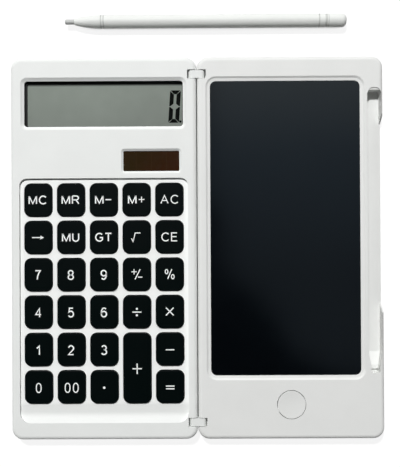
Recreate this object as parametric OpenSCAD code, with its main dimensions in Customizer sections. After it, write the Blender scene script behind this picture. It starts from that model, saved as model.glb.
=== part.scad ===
// Fold-open calculator with an LCD writing tablet in its second half, and the stylus that goes with it.
// Sizes are in millimetres. +X runs from the calculator to the tablet, +Y to the display end, +Z up.
// The case lies open and flat on its back, and the stylus lies on the table beyond the display end.

/* [Case] */
// length of each half, along the hinge
case_l = 172; // [160:1:190]
// width of each half, across the hinge
half_w = 83.6; // [80:0.2:92]
// thickness of each half
case_t = 8.5; // [8.3:0.1:10]
// gap between the two halves
half_gap = 0.4; // [0.3:0.05:0.8]
// corner radius seen from the front
corner_r = 5; // [4.5:0.1:6]
// radius of the edge all round the front
front_edge_r = 1.9; // [1.8:0.05:2.2]
// radius of the edge all round the back
back_edge_r = 1.4; // [0.8:0.1:1.8]
// height of the parting line between front and back shells
parting_z = 2.2; // [2.1:0.05:2.4]
// side wall of the shells
wall_t = 1.6; // [1.4:0.05:1.8]
// front wall of the shells
face_t = 1.6; // [1.5:0.05:1.8]
// back wall of the shells
floor_t = 1.4; // [1.2:0.05:1.5]
// height of the locating tab inside the parting line
tab_h = 1; // [0.5:0.1:1.2]
// thickness of the locating tab
tab_t = 0.8; // [0.6:0.1:1]
// length of the locating tab
tab_l = 90; // [60:1:100]
// gap between the locating tab and the wall
tab_gap = 0.1; // [0.05:0.05:0.2]

/* [Hinge] */
// distance from the link's centre to the end of the case
hinge_inset = 7.7; // [7.5:0.1:8.5]
// width of a link along the hinge
link_w = 3.5; // [3:0.1:3.8]
// end radius of a link
link_end_r = 1.5; // [1.4:0.05:1.6]
// gap on each side of a link
link_side_gap = 0.3; // [0.2:0.05:0.4]
// gap behind a link
link_back_gap = 0.6; // [0.4:0.05:0.7]
// gap under a link
link_floor_gap = 0.4; // [0.2:0.05:0.5]
// wall behind and under a link's pocket
pocket_wall = 1.2; // [0.9:0.1:1.3]
// radius of a hinge pin
pin_r = 0.75; // [0.6:0.05:0.85]
// running gap between pin and link
pin_run_gap = 0.05; // [0.03:0.01:0.09]
// gap between pin and case
pin_seat_gap = 0.02; // [0.01:0.005:0.03]
// length of pin held in the case on each side of a link
pin_grip = 2; // [1.5:0.1:2.2]

/* [Screws] */
// distance from a case screw to the end of the case
screw_inset = 3.8; // [3.7:0.05:4]
// distance of the outer case screws from the half's centre line
screw_spread = 32.5; // [31:0.5:33]
// radius of the post that a case screw goes into
post_r = 2; // [1.9:0.05:2.1]
// radius of a screw head
head_r = 1.7; // [1.5:0.05:1.8]
// thickness of a screw head
head_t = 0.9; // [0.7:0.05:1]
// depth of a screw head below the back
head_drop = 0.2; // [0.1:0.05:0.3]
// radius of a screw's shank
shank_r = 0.95; // [0.8:0.05:1]
// length of a screw's shank
shank_l = 4.2; // [3.5:0.1:4.6]
// gap round a screw
screw_gap = 0.05; // [0.03:0.01:0.1]
// room past the end of a case screw
screw_room = 0.5; // [0.2:0.1:0.8]
// wall round the well of a case screw's head
well_wall = 1; // [0.8:0.05:1.2]
// width of the slots of the cross in a screw head
cross_w = 0.5; // [0.4:0.05:0.6]
// depth of the cross in a screw head
cross_d = 0.3; // [0.2:0.05:0.4]
// rim of the head round the cross
cross_rim = 0.5; // [0.3:0.05:0.7]

/* [Display] */
// distance from the window to each side of the half
display_side = 6; // [5.8:0.1:8]
// distance from the window to the display end of the case
display_drop = 10.5; // [10:0.1:11]
// height of the window
display_h = 20.6; // [18:0.1:21]
// corner radius of the window
display_r = 1.4; // [1:0.1:2]
// width of the slope round the window
display_bevel = 1.5; // [1:0.1:1.8]
// depth of the slope round the window
display_slope = 1.1; // [0.9:0.05:1.15]
// thickness of the window's inner edge
display_edge_t = 0.2; // [0.15:0.05:0.3]
// depth of the display glass below the front
glass_depth = 3.1; // [2.9:0.05:3.2]
// thickness of each glass plate
glass_t = 1.1; // [0.9:0.05:1.15]
// reach of the glass beyond the window at each side
glass_side = 0.5; // [0.4:0.05:0.6]
// reach of the glass beyond the window at top and bottom
glass_end = 1.7; // [1.5:0.05:1.8]
// width of the contact ledge along the glass
ledge_w = 2.5; // [2.2:0.05:2.8]
// reach of the black frame beyond the window at top and bottom
frame_end = 1.2; // [1:0.05:1.4]
// reach of the black frame inside the window
frame_reveal = 0.3; // [0.1:0.05:0.8]
// further reach of the black frame at the outer side
reveal_outer = 0.7; // [0:0.05:1]
// further reach of the black frame at the display end
reveal_head = 0.3; // [0:0.05:1.5]
// corner radius of the black frame's opening
view_r = 1.2; // [0.6:0.1:2]
// thickness of the clear cover on the glass
cover_t = 0.6; // [0.4:0.05:0.8]
// gap round the clear cover
cover_gap = 0.05; // [0.03:0.01:0.1]
// gap round the black frame
frame_gap = 0.1; // [0.05:0.01:0.15]
// width of the rubber connector under the contact ledge
connector_w = 1.8; // [1.5:0.05:2]
// distance from the rubber connector to the long edge of the glass
connector_edge = 0.2; // [0.1:0.05:0.4]
// distance from the rubber connector to the ends of the glass
connector_end = 3; // [2:0.1:5]
// gap between the circuit board and the back glass plate
board_gap = 0.4; // [0.2:0.05:0.5]

/* [Solar cell] */
// width of the solar window
solar_w = 25.2; // [22:0.1:27]
// height of the solar window
solar_h = 9.1; // [8:0.1:9.3]
// distance from the solar window to the hinge side of the half
solar_from_hinge = 7.7; // [6.5:0.1:10]
// distance from the solar window to the display end of the case
solar_drop = 42.2; // [41:0.1:42.3]
// corner radius of the solar window
solar_r = 0.6; // [0.4:0.05:0.8]
// width of the slope round the solar window
solar_bevel = 1; // [0.6:0.05:1.1]
// depth of the solar cell below the front
solar_depth = 1; // [0.8:0.05:1.1]
// thickness of the solar window's inner edge
solar_edge_t = 0.2; // [0.15:0.05:0.3]
// reach of the cell beyond its window
solar_margin = 1; // [0.8:0.05:1.05]
// thickness of the solar cell
solar_t = 1.1; // [0.8:0.05:1.3]
// gap round the solar cell
solar_gap = 0.1; // [0.05:0.01:0.15]

/* [Keypad] */
// distance from the keypad recess to each side of the half
pan_side = 3.9; // [3.8:0.05:4.5]
// distance from the keypad recess to the display end of the case
pan_drop = 54.4; // [54.3:0.05:55]
// distance from the keypad recess to the other end of the case
pan_foot = 7.65; // [7.1:0.05:8]
// depth of the keypad recess
pan_depth = 1.2; // [1.1:0.05:1.3]
// floor and wall thickness of the keypad recess
pan_t = 1.2; // [1.1:0.05:1.25]
// corner radius of the recess at the display end
pan_head_r = 3.4; // [2.5:0.1:4]
// corner radius of the recess at the other end
pan_foot_r = 5; // [4:0.1:6]
// length of the ramp at the foot of the recess
ramp_l = 5; // [4:0.1:5.5]
// distance from the keys to the sides of the recess
key_side = 2.1; // [1.8:0.05:2.6]
// distance from the keys to the top of the recess
key_head = 2.3; // [1.8:0.05:2.6]
// distance from the keys to the ramp
key_foot = 3.7; // [3:0.05:4.5]
// gap between columns of keys
col_gap = 2.3; // [2.1:0.05:2.6]
// gap between rows of keys
row_gap = 2.1; // [1.9:0.05:2.4]
// corner radius of a key
key_r = 3; // [2:0.1:3.5]
// radius of the edge of a key's top
key_edge_r = 0.4; // [0.2:0.05:0.6]
// height of a key above the recess floor
key_rise = 1; // [0.95:0.05:1.1]
// how far a key goes down, until its contact pill meets the board
key_travel = 0.9; // [0.6:0.05:1]
// gap between a key and its hole
key_gap = 0.25; // [0.15:0.05:0.3]
// reach of the flange that holds a key in
flange_w = 0.6; // [0.5:0.05:0.7]
// thickness of that flange
flange_t = 0.9; // [0.7:0.05:0.95]
// wall of a key
key_wall = 1.2; // [1:0.05:1.5]
// radius of the stem inside a key
stem_r = 2; // [1.5:0.1:2.2]

/* [Inside the calculator] */
// thickness of the circuit board
board_t = 1.2; // [1:0.05:1.3]
// reach of the board beyond the keys at each side
board_side = 0.4; // [0.2:0.1:0.6]
// thickness of the rubber sheet under the keys
sheet_t = 0.5; // [0.3:0.05:0.6]
// foot radius of a rubber dome
dome_r = 3.2; // [2.8:0.1:3.6]
// top radius of a rubber dome
dome_top_r = 2.3; // [2.1:0.1:2.6]
// wall of a rubber dome
dome_wall = 0.5; // [0.3:0.05:0.6]
// radius of the contact pill under a dome's top
pill_r = 1.3; // [1:0.05:1.5]
// thickness of the ribs under board and glass
rib_t = 1.2; // [1:0.1:1.6]
// distance from a rib to the edge of what it carries
rib_inset = 3; // [2:0.1:4]
// distance from the rubber sheet to the sides of the board
sheet_inset = 0.5; // [0.3:0.05:0.8]
// radius of the button cell
cell_r = 5.8; // [5:0.05:5.8]
// thickness of the button cell
cell_t = 3.05; // [2.6:0.05:3.1]
// width of the step round the small end of the cells
cell_step = 0.9; // [0.6:0.05:1.2]
// height of that step
cell_step_h = 0.35; // [0.2:0.05:0.5]
// distance from the button cell to the half's centre line
cell_x = 20; // [18:0.5:22]
// distance from the button cell's centre to the display end of the case
cell_drop = 44; // [43:0.1:45]
// gap round the cells
cell_gap = 0.4; // [0.3:0.05:0.5]
// gap between the cell and the circuit board
cell_board_gap = 0.6; // [0.4:0.05:0.8]
// length of the battery door
door_l = 25; // [24:0.1:27]
// width of the battery door
door_w = 15; // [14.5:0.1:17]
// distance from the cell to the battery door's centre
door_shift = 4.5; // [4:0.1:5]
// thickness of the battery doors
door_t = 0.8; // [0.7:0.05:0.9]
// gap round the battery doors
door_gap = 0.15; // [0.1:0.01:0.2]
// corner radius of the battery doors
door_r = 2; // [1:0.1:2.5]
// distance from a door's screw to the door's end
door_screw_inset = 3.2; // [2.8:0.05:3.5]
// radius of a door screw's shank
door_shank_r = 0.7; // [0.5:0.05:0.75]
// radius of a door screw's head
door_head_r = 1.4; // [1.2:0.05:1.6]
// thickness of a door screw's head
door_head_t = 0.45; // [0.4:0.01:0.5]
// depth of a door screw's head below the back
door_head_drop = 0.1; // [0.05:0.01:0.15]
// length of a door screw's shank
door_shank_l = 1.9; // [1.5:0.05:2.2]
// wall of the boss that a door screw goes into
boss_wall = 1.1; // [0.9:0.05:1.3]
// height of that boss above the back wall
boss_h = 1.8; // [1.6:0.05:2]
// gap between that boss and the circuit board
boss_gap = 0.4; // [0.3:0.05:0.6]
// thickness of the contact springs
contact_t = 0.2; // [0.15:0.01:0.3]
// width of the contact springs
contact_w = 3; // [2:0.1:4]
// reach of the contact springs onto a circuit board
contact_reach = 2; // [1.5:0.1:2.5]
// reach of the contact springs past the middle of a cell
contact_past = 1; // [0.5:0.1:2]
// gap between a contact spring and the edge beside it
contact_gap = 0.1; // [0.05:0.01:0.15]

/* [Writing tablet] */
// distance from the screen to the hinge side of the half
screen_from_hinge = 5.8; // [5.5:0.1:6.5]
// distance from the screen to the stylus channel
screen_from_slot = 3.2; // [3.1:0.05:4]
// distance from the screen to the display end of the case
screen_drop = 10.9; // [10:0.1:12]
// distance from the screen to the other end of the case
screen_foot = 28.6; // [28:0.1:31]
// corner radius of the screen
screen_r = 2.7; // [2:0.1:3.5]
// width of the frame that slopes down to the screen
bezel_w = 2; // [1.8:0.05:2.1]
// width of the flatter inner part of that frame
bezel_ledge_w = 1.2; // [0.9:0.05:1.4]
// rise of the flatter inner part of that frame
bezel_ledge_rise = 0.2; // [0.1:0.05:0.3]
// depth of the screen below the front
screen_depth = 1; // [0.9:0.05:1.1]
// thickness of the frame's inner edge
screen_edge_t = 0.2; // [0.15:0.05:0.3]
// reach of the writing film beyond the screen
film_margin = 1.5; // [1.2:0.05:1.6]
// thickness of the writing film
film_t = 0.8; // [0.6:0.05:0.9]
// gap round the writing film
film_gap = 0.15; // [0.1:0.05:0.2]
// thickness of the board behind the film
backing_t = 1.2; // [1:0.05:1.4]

/* [Erase button] */
// radius of the button
button_r = 6.25; // [5.5:0.05:6.8]
// gap round the button
button_gap = 0.3; // [0.2:0.05:0.4]
// distance from the button's centre to the end of the case
button_foot = 15.5; // [15:0.1:16]
// depth of the hollow in the button's top
button_dish = 0.25; // [0.1:0.05:0.4]
// flat rim round that hollow
dish_rim = 0.5; // [0.3:0.05:0.8]
// how far the button goes down
button_travel = 0.6; // [0.3:0.05:0.6]
// reach of the flange that holds the button in
button_flange_w = 0.9; // [0.7:0.05:1.1]
// thickness of that flange
button_flange_t = 1; // [0.8:0.05:1]
// radius of the button's stem
button_stem_r = 1.6; // [1.3:0.05:1.8]
// depth of the stem in the switch
stem_depth = 0.6; // [0.4:0.05:0.7]
// gap between stem and switch
stem_gap = 0.1; // [0.05:0.01:0.15]
// room under the pressed stem
stem_room = 0.1; // [0.05:0.01:0.2]
// width of the switch
switch_w = 6; // [5.5:0.1:7]
// height of the switch
switch_h = 2.3; // [2:0.05:2.4]
// side of the small circuit board
erase_board_w = 16; // [14:0.1:16.2]
// thickness of the small circuit board
erase_board_t = 1; // [0.8:0.05:1]
// height of the ribs under the small circuit board
erase_rib_h = 0.5; // [0.4:0.05:0.5]
// radius of the tablet's coin cell
coin_r = 8; // [7:0.05:8.2]
// thickness of the coin cell
coin_t = 1.6; // [1.2:0.05:1.7]
// distance from the coin cell to the half's centre line
coin_x = 19.5; // [19:0.1:20]
// distance from the coin cell to the end of the case
coin_foot = 16; // [15.8:0.1:16.5]
// length of the tablet's battery door
coin_door_l = 26; // [25.5:0.1:28]
// width of the tablet's battery door
coin_door_w = 18.6; // [18:0.1:20]
// distance from the coin cell to the door's centre
coin_door_shift = 3.5; // [3.2:0.1:4]

/* [Stylus channel] */
// width of the channel
slot_w = 6.5; // [6.4:0.05:6.8]
// wall between the channel and the side of the case
slot_outer_wall = 0.65; // [0.5:0.05:0.8]
// distance from the channel to the display end of the case
slot_drop = 14.1; // [12:0.1:15]
// wall round the channel inside the case
slot_wall = 1.2; // [1:0.05:1.25]
// room past the stylus in the channel
slot_room = 0.3; // [0.3:0.1:1]
// length of the ledge at the channel's head
ledge_l = 1.1; // [0.6:0.1:1.3]
// depth of that ledge below the front
ledge_d = 0.5; // [0.3:0.05:0.8]
// length of the channel's taper
slot_taper_l = 6; // [5:0.1:11]
// width of the channel at the stylus tip
slot_tip_w = 4; // [3.6:0.1:4.4]
// length of the narrow part of the channel at the tip
notch_l = 3.3; // [3:0.1:4]
// corner radius of the channel's end
notch_r = 0.8; // [0.5:0.1:1.2]
// rise of the channel's floor under the stylus tip
floor_rise = 1.5; // [1:0.05:1.6]
// length of the slope up to the raised floor
rise_l = 6; // [5:0.1:6.5]
// length of the pit between the raised floor and the channel's end
pit_l = 1.4; // [1:0.1:1.8]
// length of the tip in the hole at the channel's end
tip_seat_l = 1.3; // [0.8:0.1:2]
// room round the tip in that hole
tip_room = 0.5; // [0.3:0.05:0.7]
// distance from the channel's head to the open side
side_from_head = 15.9; // [15:0.1:19]
// length of the open side at the channel's floor
side_l = 81.6; // [70:0.1:85]
// length of the slope at each end of the open side
side_slope_l = 4.5; // [3:0.1:6]

/* [Stylus] */
// length of the stylus
pen_l = 128.5; // [125:0.5:130]
// radius of the stylus
pen_r = 3.05; // [2.9:0.01:3.08]
// radius of the tip
tip_r = 1.15; // [1:0.01:1.25]
// length of the tip
tip_l = 4.35; // [4:0.05:4.6]
// radius of the edge of the tip
tip_edge_r = 0.5; // [0.3:0.05:0.8]
// radius of the nose at the tip
nose_end_r = 1.4; // [1.3:0.01:1.6]
// length of the nose
nose_l = 12.2; // [11:0.1:13]
// length of the end cap
cap_l = 12.6; // [11:0.1:14]
// radius of the end cap's rounded end
cap_end_r = 2.2; // [1.5:0.05:2.6]
// distance from the end cap's mouth to its groove
cap_groove_at = 3.2; // [2.5:0.05:4]
// width of the groove in the end cap
cap_groove_w = 0.8; // [0.5:0.05:1]
// depth of the groove in the end cap
cap_groove_d = 0.3; // [0.2:0.05:0.4]
// width of the fine grooves round the stylus
ring_w = 0.45; // [0.2:0.05:0.5]
// depth of the fine grooves round the stylus
ring_d = 0.25; // [0.1:0.05:0.3]
// distance from the nose to the fine groove in the barrel
ring_at = 1.2; // [0.9:0.05:1.6]
// wall of the stylus barrel
barrel_wall = 0.8; // [0.6:0.05:1]
// length of the plugs in the barrel's ends
plug_l = 6; // [4:0.1:8]
// gap between the plugs and the barrel
plug_gap = 0.03; // [0.02:0.01:0.05]
// length of the tip's shank in the nose
tip_shank_l = 5; // [3:0.1:6]
// gap between the tip's shank and the nose
tip_gap = 0.03; // [0.02:0.01:0.05]
// distance of the stylus centre from the hinge line
pen_x = 4.3; // [-5:0.1:10]
// gap between the stylus and the case
pen_gap = 14.5; // [8:0.1:20]

/* [Hidden] */
$fn = 96;
// how far a cut runs past the face that it opens
cut = 1;
// how far joined shapes run into each other
lap = 0.1;
// A length that comes from a division is kept to a thousandth of a millimetre, so that faces meet exactly.
function snap(v) = round(v * 1000) / 1000;
half_cx = half_gap / 2 + half_w / 2;
end_y = case_l / 2;
case_y = -(pen_gap + 2 * pen_r) / 2;
inner_w = half_w - 2 * wall_t;
inner_l = case_l - 2 * wall_t;
inner_r = corner_r - wall_t;
face_z = case_t - face_t;
pivot_z = case_t - front_edge_r;
pivot_x = half_w / 2 - front_edge_r;
hinge_y = end_y - hinge_inset;
link_slot = link_w + 2 * link_side_gap;
pin_l = link_slot + 2 * pin_grip;
screw_y = end_y - screw_inset;
head_top = head_drop + head_t;
display_w = half_w - 2 * display_side;
display_y = end_y - display_drop - display_h / 2;
lip_z = case_t - display_slope - display_edge_t;
glass_z = case_t - glass_depth;
glass_w = display_w + 2 * glass_side;
glass_h = display_h + 2 * glass_end;
frame_h = display_h + 2 * frame_end;
view_w = display_w - 2 * frame_reveal - reveal_outer;
view_h = display_h - 2 * frame_reveal - reveal_head;
view_x = reveal_outer / 2;
view_y = display_y - reveal_head / 2;
cover_z = glass_z + cover_t;
solar_x = half_w / 2 - solar_from_hinge - solar_w / 2;
solar_y = end_y - solar_drop - solar_h / 2;
solar_z = case_t - solar_depth;
pan_w = half_w - 2 * pan_side;
pan_head_y = end_y - pan_drop;
pan_foot_y = pan_foot - end_y;
pan_l = pan_head_y - pan_foot_y;
pan_z = case_t - pan_depth;
pan_low_z = pan_z - pan_t;
ramp_y = pan_foot_y + ramp_l;
ramp_r = (ramp_l * ramp_l + pan_depth * pan_depth) / (2 * pan_depth);
key_w = snap((pan_w - 2 * key_side - 4 * col_gap) / 5);
key_l = snap((pan_head_y - ramp_y - key_head - key_foot - 5 * row_gap) / 6);
col_pitch = key_w + col_gap;
row_pitch = key_l + row_gap;
row_one_y = pan_head_y - key_head - key_l / 2;
key_top_z = pan_z + key_rise;
flange_z = pan_low_z - flange_t;
board_z = parting_z;
board_top_z = board_z + board_t;
sheet_top_z = board_top_z + sheet_t;
board_w = 5 * key_w + 4 * col_gap + 2 * flange_w + 2 * board_side;
board_head_y = display_y - glass_h / 2 + ledge_w - board_gap;
board_foot_y = ramp_y;
sheet_w = board_w - 2 * sheet_inset;
cell_y = end_y - cell_drop;
door_x = -cell_x + door_shift;
door_screw_x = door_x + door_l / 2 - door_screw_inset;
coin_y = coin_foot - end_y;
coin_door_x = -coin_x - coin_door_shift;
coin_screw_x = coin_door_x - coin_door_l / 2 + door_screw_inset;
slot_x = half_w / 2 - slot_outer_wall - slot_w / 2;
slot_head_y = end_y - slot_drop;
slot_tip_y = slot_head_y - ledge_l - slot_room - pen_l;
slot_end_y = slot_tip_y + tip_seat_l;
slot_z = parting_z;
pen_z = slot_z + pen_r;
block_w = slot_w + slot_outer_wall + slot_wall;
block_foot_y = slot_tip_y - slot_room - slot_wall;
block_head_y = slot_head_y + slot_wall;
screen_w = slot_x - slot_w / 2 - screen_from_slot - screen_from_hinge + half_w / 2;
screen_l = case_l - screen_drop - screen_foot;
screen_x = screen_from_hinge + screen_w / 2 - half_w / 2;
screen_y = end_y - screen_drop - screen_l / 2;
screen_z = case_t - screen_depth;
film_w = screen_w + 2 * film_margin;
film_l = screen_l + 2 * film_margin;
backing_z = screen_z - film_t - backing_t;
button_y = button_foot - end_y;
button_flange_z = face_z - button_flange_t;
erase_board_z = floor_t + erase_rib_h;
switch_z = erase_board_z + erase_board_t;
switch_top_z = switch_z + switch_h;
pen_y = case_y + end_y + pen_gap + pen_r;
barrel_z = tip_l + nose_l;
cap_z = pen_l - cap_l;
bore_r = pen_r - barrel_wall;
ogive_r = (nose_l * nose_l + pow(pen_r - nose_end_r, 2)) / (2 * (pen_r - nose_end_r));
white = [0.91, 0.92, 0.91];
black = [0.05, 0.05, 0.05];
steel = [0.7, 0.7, 0.72];

// Places of the calculator half and of the tablet half.
module at_calculator() {
  translate([-half_cx, case_y, 0])
    children();
}

module at_tablet() {
  translate([half_cx, case_y, 0])
    children();
}

// Flat outlines.
module rounded(sx, sy, r) {
  square([sx, sy - 2 * r], center = true);
  square([sx - 2 * r, sy], center = true);
  for (x = [-1, 1], y = [-1, 1])
    translate([x * (sx / 2 - r), y * (sy / 2 - r)])
      circle(r);
}

module quarter_disc(r) {
  intersection() {
    circle(r);
    square(r + cut);
  }
}

// Edge profile of a plate, from a corner's centre outwards, with its top edge rounded.
module round_top(r, e, z0, z1) {
  translate([0, z0])
    square([r - e, z1 - z0]);
  translate([r - e, z0])
    square([e, z1 - z0 - e]);
  translate([r - e, z1 - e])
    quarter_disc(e);
}

// The same with its bottom edge rounded.
module round_bottom(r, e, z0, z1) {
  translate([0, z0])
    square([r - e, z1 - z0]);
  translate([r - e, z0 + e])
    square([e, z1 - z0 - e]);
  translate([r - e, z0 + e])
    mirror([0, 1])
      quarter_disc(e);
}

// Edge profile of an opening with sloped sides.
module sloped(r, bevel, z0, z_edge, z1) {
  polygon([[0, z0], [r, z0], [r, z_edge], [r + bevel, z1], [r + bevel, z1 + cut], [0, z1 + cut]]);
}

// A plate with rounded corners whose edge follows the profile given as a child.
module edged_plate(sx, sy, r, z0, z1) {
  for (q = [0:3])
    rotate([0, 0, 90 * q])
      translate(q % 2 == 0 ? [sx / 2 - r, sy / 2 - r, 0] : [sy / 2 - r, sx / 2 - r, 0])
        rotate_extrude(angle = 90)
          children();
  for (q = [0:3])
    rotate([0, 0, 90 * q])
      translate([(q % 2 == 0 ? sx : sy) / 2 - r, 0, 0])
        rotate([90, 0, 0])
          linear_extrude((q % 2 == 0 ? sy : sx) - 2 * r, center = true)
            children();
  translate([-sx / 2 + r, -sy / 2 + r, z0])
    cube([sx - 2 * r, sy - 2 * r, z1 - z0]);
}

module prism(z0, z1) {
  translate([0, 0, z0])
    linear_extrude(z1 - z0)
      children();
}

module block(x0, x1, y0, y1, z0, z1) {
  translate([x0, y0, z0])
    cube([x1 - x0, y1 - y0, z1 - z0]);
}

// Outer forms of the shells.
module front_body() {
  edged_plate(half_w, case_l, corner_r, parting_z, case_t)
    round_top(corner_r, front_edge_r, parting_z, case_t);
}

module back_body() {
  edged_plate(half_w, case_l, corner_r, 0, parting_z)
    round_bottom(corner_r, back_edge_r, 0, parting_z);
}

module inner_outline() {
  rounded(inner_w, inner_l, inner_r);
}

// Case screws: six to each half.
module at_screws() {
  for (x = [-screw_spread, 0, screw_spread], y = [-screw_y, screw_y])
    translate([x, y, 0])
      children();
}

module screw_pilots() {
  at_screws()
    prism(parting_z - cut, head_top + shank_l + screw_room)
      circle(shank_r + screw_gap);
}

module screw_wells() {
  at_screws() {
    prism(-cut, head_top)
      circle(head_r + screw_gap);
    prism(head_top - lap, parting_z + cut)
      circle(shank_r + screw_gap);
  }
}

module screw(hr, ht, z0, sr, sl) {
  difference() {
    union() {
      prism(z0, z0 + ht)
        circle(hr);
      prism(z0 + ht - lap, z0 + ht + sl)
        circle(sr);
    }
    for (a = [0, 90])
      rotate([0, 0, a])
        block(cross_rim - hr, hr - cross_rim, -cross_w / 2, cross_w / 2, z0 - cut, z0 + cross_d);
  }
}

module door_screw() {
  screw(door_head_r, door_head_t, door_head_drop, door_shank_r, door_shank_l);
}

// Hinge side: pockets for the links and bores for the pins. The side is 1 or -1.
module hinge_walls(side) {
  x_back = pivot_x - link_end_r - link_back_gap - pocket_wall;
  z_low = pivot_z - link_end_r - link_floor_gap - pocket_wall;
  for (y = [-hinge_y, hinge_y])
    block(min(side * x_back, side * half_w), max(side * x_back, side * half_w),
      y - pin_l / 2, y + pin_l / 2, z_low, case_t);
}

module hinge_cuts(side) {
  x_back = pivot_x - link_end_r - link_back_gap;
  z_low = pivot_z - link_end_r - link_floor_gap;
  for (e = [-1, 1]) {
    block(min(side * x_back, side * half_w), max(side * x_back, side * half_w),
      e * hinge_y - link_slot / 2, e * hinge_y + link_slot / 2, z_low, case_t + cut);
    translate([side * pivot_x, e * (hinge_y - cut / 2), pivot_z])
      rotate([90, 0, 0])
        cylinder(r = pin_r + pin_seat_gap, h = pin_l + cut, center = true);
  }
}

module hinge_pin_pair(side) {
  for (y = [-hinge_y, hinge_y])
    translate([side * pivot_x, y, pivot_z])
      rotate([90, 0, 0])
        cylinder(r = pin_r, h = pin_l, center = true);
}

// Keypad recess. Two overlapping rounded outlines give its two ends their own corner radii.
module pan_outline(grow) {
  end_l = pan_l / 2 + pan_head_r + pan_foot_r;
  translate([0, pan_head_y - end_l / 2])
    rounded(pan_w + 2 * grow, end_l + 2 * grow, pan_head_r + grow);
  translate([0, pan_foot_y + end_l / 2])
    rounded(pan_w + 2 * grow, end_l + 2 * grow, pan_foot_r + grow);
}

module pan_profile() {
  translate([ramp_y, pan_z])
    square([pan_head_y - ramp_y + cut, pan_depth + cut]);
  intersection() {
    translate([ramp_y, pan_z + ramp_r])
      circle(ramp_r, $fn = 360);
    translate([ramp_y - ramp_r, pan_z - cut])
      square([ramp_r, pan_depth + 2 * cut]);
  }
}

module pan_cut() {
  intersection() {
    prism(pan_z - cut, case_t + cut)
      pan_outline(0);
    rotate([90, 0, 90])
      linear_extrude(2 * pan_w, center = true)
        pan_profile();
  }
}

function key_x(c) = (c - 2) * col_pitch;
function key_y(r) = row_one_y - r * row_pitch;

// Column, row and number of rows of each key. The plus key, in the fourth column, takes the last two rows.
KEYS = [
  for (r = [0:5], c = [0:4])
    if (!(c == 3 && r == 5))
      [c, r, c == 3 && r == 4 ? 2 : 1]
];

module at_key(k) {
  translate([key_x(k[0]), key_y(k[1] + (k[2] - 1) / 2), 0])
    children();
}

function key_len(k) = key_l + (k[2] - 1) * row_pitch;

module key_holes() {
  for (k = KEYS)
    at_key(k)
      prism(pan_low_z - cut, case_t)
        rounded(key_w + 2 * key_gap, key_len(k) + 2 * key_gap, key_r + key_gap);
}

module key_cap(k) {
  at_calculator()
    at_key(k)
      difference() {
        union() {
          edged_plate(key_w, key_len(k), key_r, flange_z, key_top_z)
            round_top(key_r, key_edge_r, flange_z, key_top_z);
          prism(flange_z, pan_low_z)
            rounded(key_w + 2 * flange_w, key_len(k) + 2 * flange_w, key_r + flange_w);
        }
        prism(flange_z - cut, key_top_z - key_wall)
          difference() {
            rounded(key_w - 2 * key_wall, key_len(k) - 2 * key_wall, key_r - key_wall);
            circle(stem_r);
          }
      }
}

// Calculator half.
module calculator_front_shell() {
  color(white)
    at_calculator()
      difference() {
        front_body();
        difference() {
          prism(parting_z - cut, face_z)
            inner_outline();
          prism(pan_low_z, case_t)
            pan_outline(pan_t);
          at_screws()
            prism(parting_z - 2 * cut, case_t)
              circle(post_r);
          hinge_walls(1);
        }
        translate([0, display_y, 0]) {
          edged_plate(display_w, display_h, display_r, face_z - cut, case_t + cut)
            sloped(display_r, display_bevel, face_z - cut, case_t - display_slope, case_t);
          prism(face_z - cut, lip_z)
            square([glass_w + 2 * frame_gap, frame_h + 2 * frame_gap], center = true);
        }
        translate([solar_x, solar_y, 0]) {
          edged_plate(solar_w, solar_h, solar_r, face_z - cut, case_t + cut)
            sloped(solar_r, solar_bevel, face_z - cut, solar_z + solar_edge_t, case_t);
          prism(face_z - cut, solar_z)
            solar_outline(solar_gap);
        }
        pan_cut();
        key_holes();
        screw_pilots();
        hinge_cuts(1);
      }
}

module tab(side) {
  x = side * (inner_w / 2 - tab_gap - tab_t / 2);
  block(x - tab_t / 2, x + tab_t / 2, -tab_l / 2, tab_l / 2, floor_t - lap, parting_z + tab_h);
}

// Battery doors, with the boss and the well in the back shell that they fit.
module door_boss(x, y) {
  translate([x, y, 0])
    prism(floor_t - lap, floor_t + boss_h)
      circle(door_shank_r + boss_wall);
}

module door_well(x, y, l, w, cell_at, r, screw_x) {
  translate([x, y, 0])
    prism(-cut, door_t)
      rounded(l + 2 * door_gap, w + 2 * door_gap, door_r + door_gap);
  translate([cell_at, y, 0])
    prism(-cut, parting_z + cut)
      circle(r + cell_gap);
  translate([screw_x, y, 0])
    prism(-cut, floor_t + boss_h + cut)
      circle(door_shank_r + screw_gap);
}

module door(x, y, l, w, screw_x) {
  difference() {
    translate([x, y, 0])
      prism(0, door_t)
        rounded(l, w, door_r);
    translate([screw_x, y, 0]) {
      prism(-cut, door_head_drop + door_head_t)
        circle(door_head_r + screw_gap);
      prism(-cut, door_t + cut)
        circle(door_shank_r + screw_gap);
    }
  }
}

module calculator_back_shell() {
  rib_l = glass_w - 2 * rib_inset;
  color(white)
    at_calculator()
      difference() {
        union() {
          difference() {
            back_body();
            difference() {
              prism(floor_t, parting_z + cut)
                inner_outline();
              at_screws()
                prism(0, parting_z + 2 * cut)
                  circle(head_r + well_wall);
            }
          }
          for (y = [display_y - glass_h / 2 + ledge_w + rib_inset, display_y + glass_h / 2 - rib_inset])
            block(-rib_l / 2, rib_l / 2, y - rib_t / 2, y + rib_t / 2, floor_t - lap, glass_z - 2 * glass_t);
          for (y = [board_foot_y + rib_inset, (board_foot_y + pan_head_y) / 2, pan_head_y - rib_inset])
            block(-board_w / 2, board_w / 2, y - rib_t / 2, y + rib_t / 2, floor_t - lap, board_z);
          for (s = [-1, 1])
            tab(s);
          door_boss(door_screw_x, cell_y);
        }
        screw_wells();
        door_well(door_x, cell_y, door_l, door_w, -cell_x, cell_r, door_screw_x);
      }
}

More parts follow.
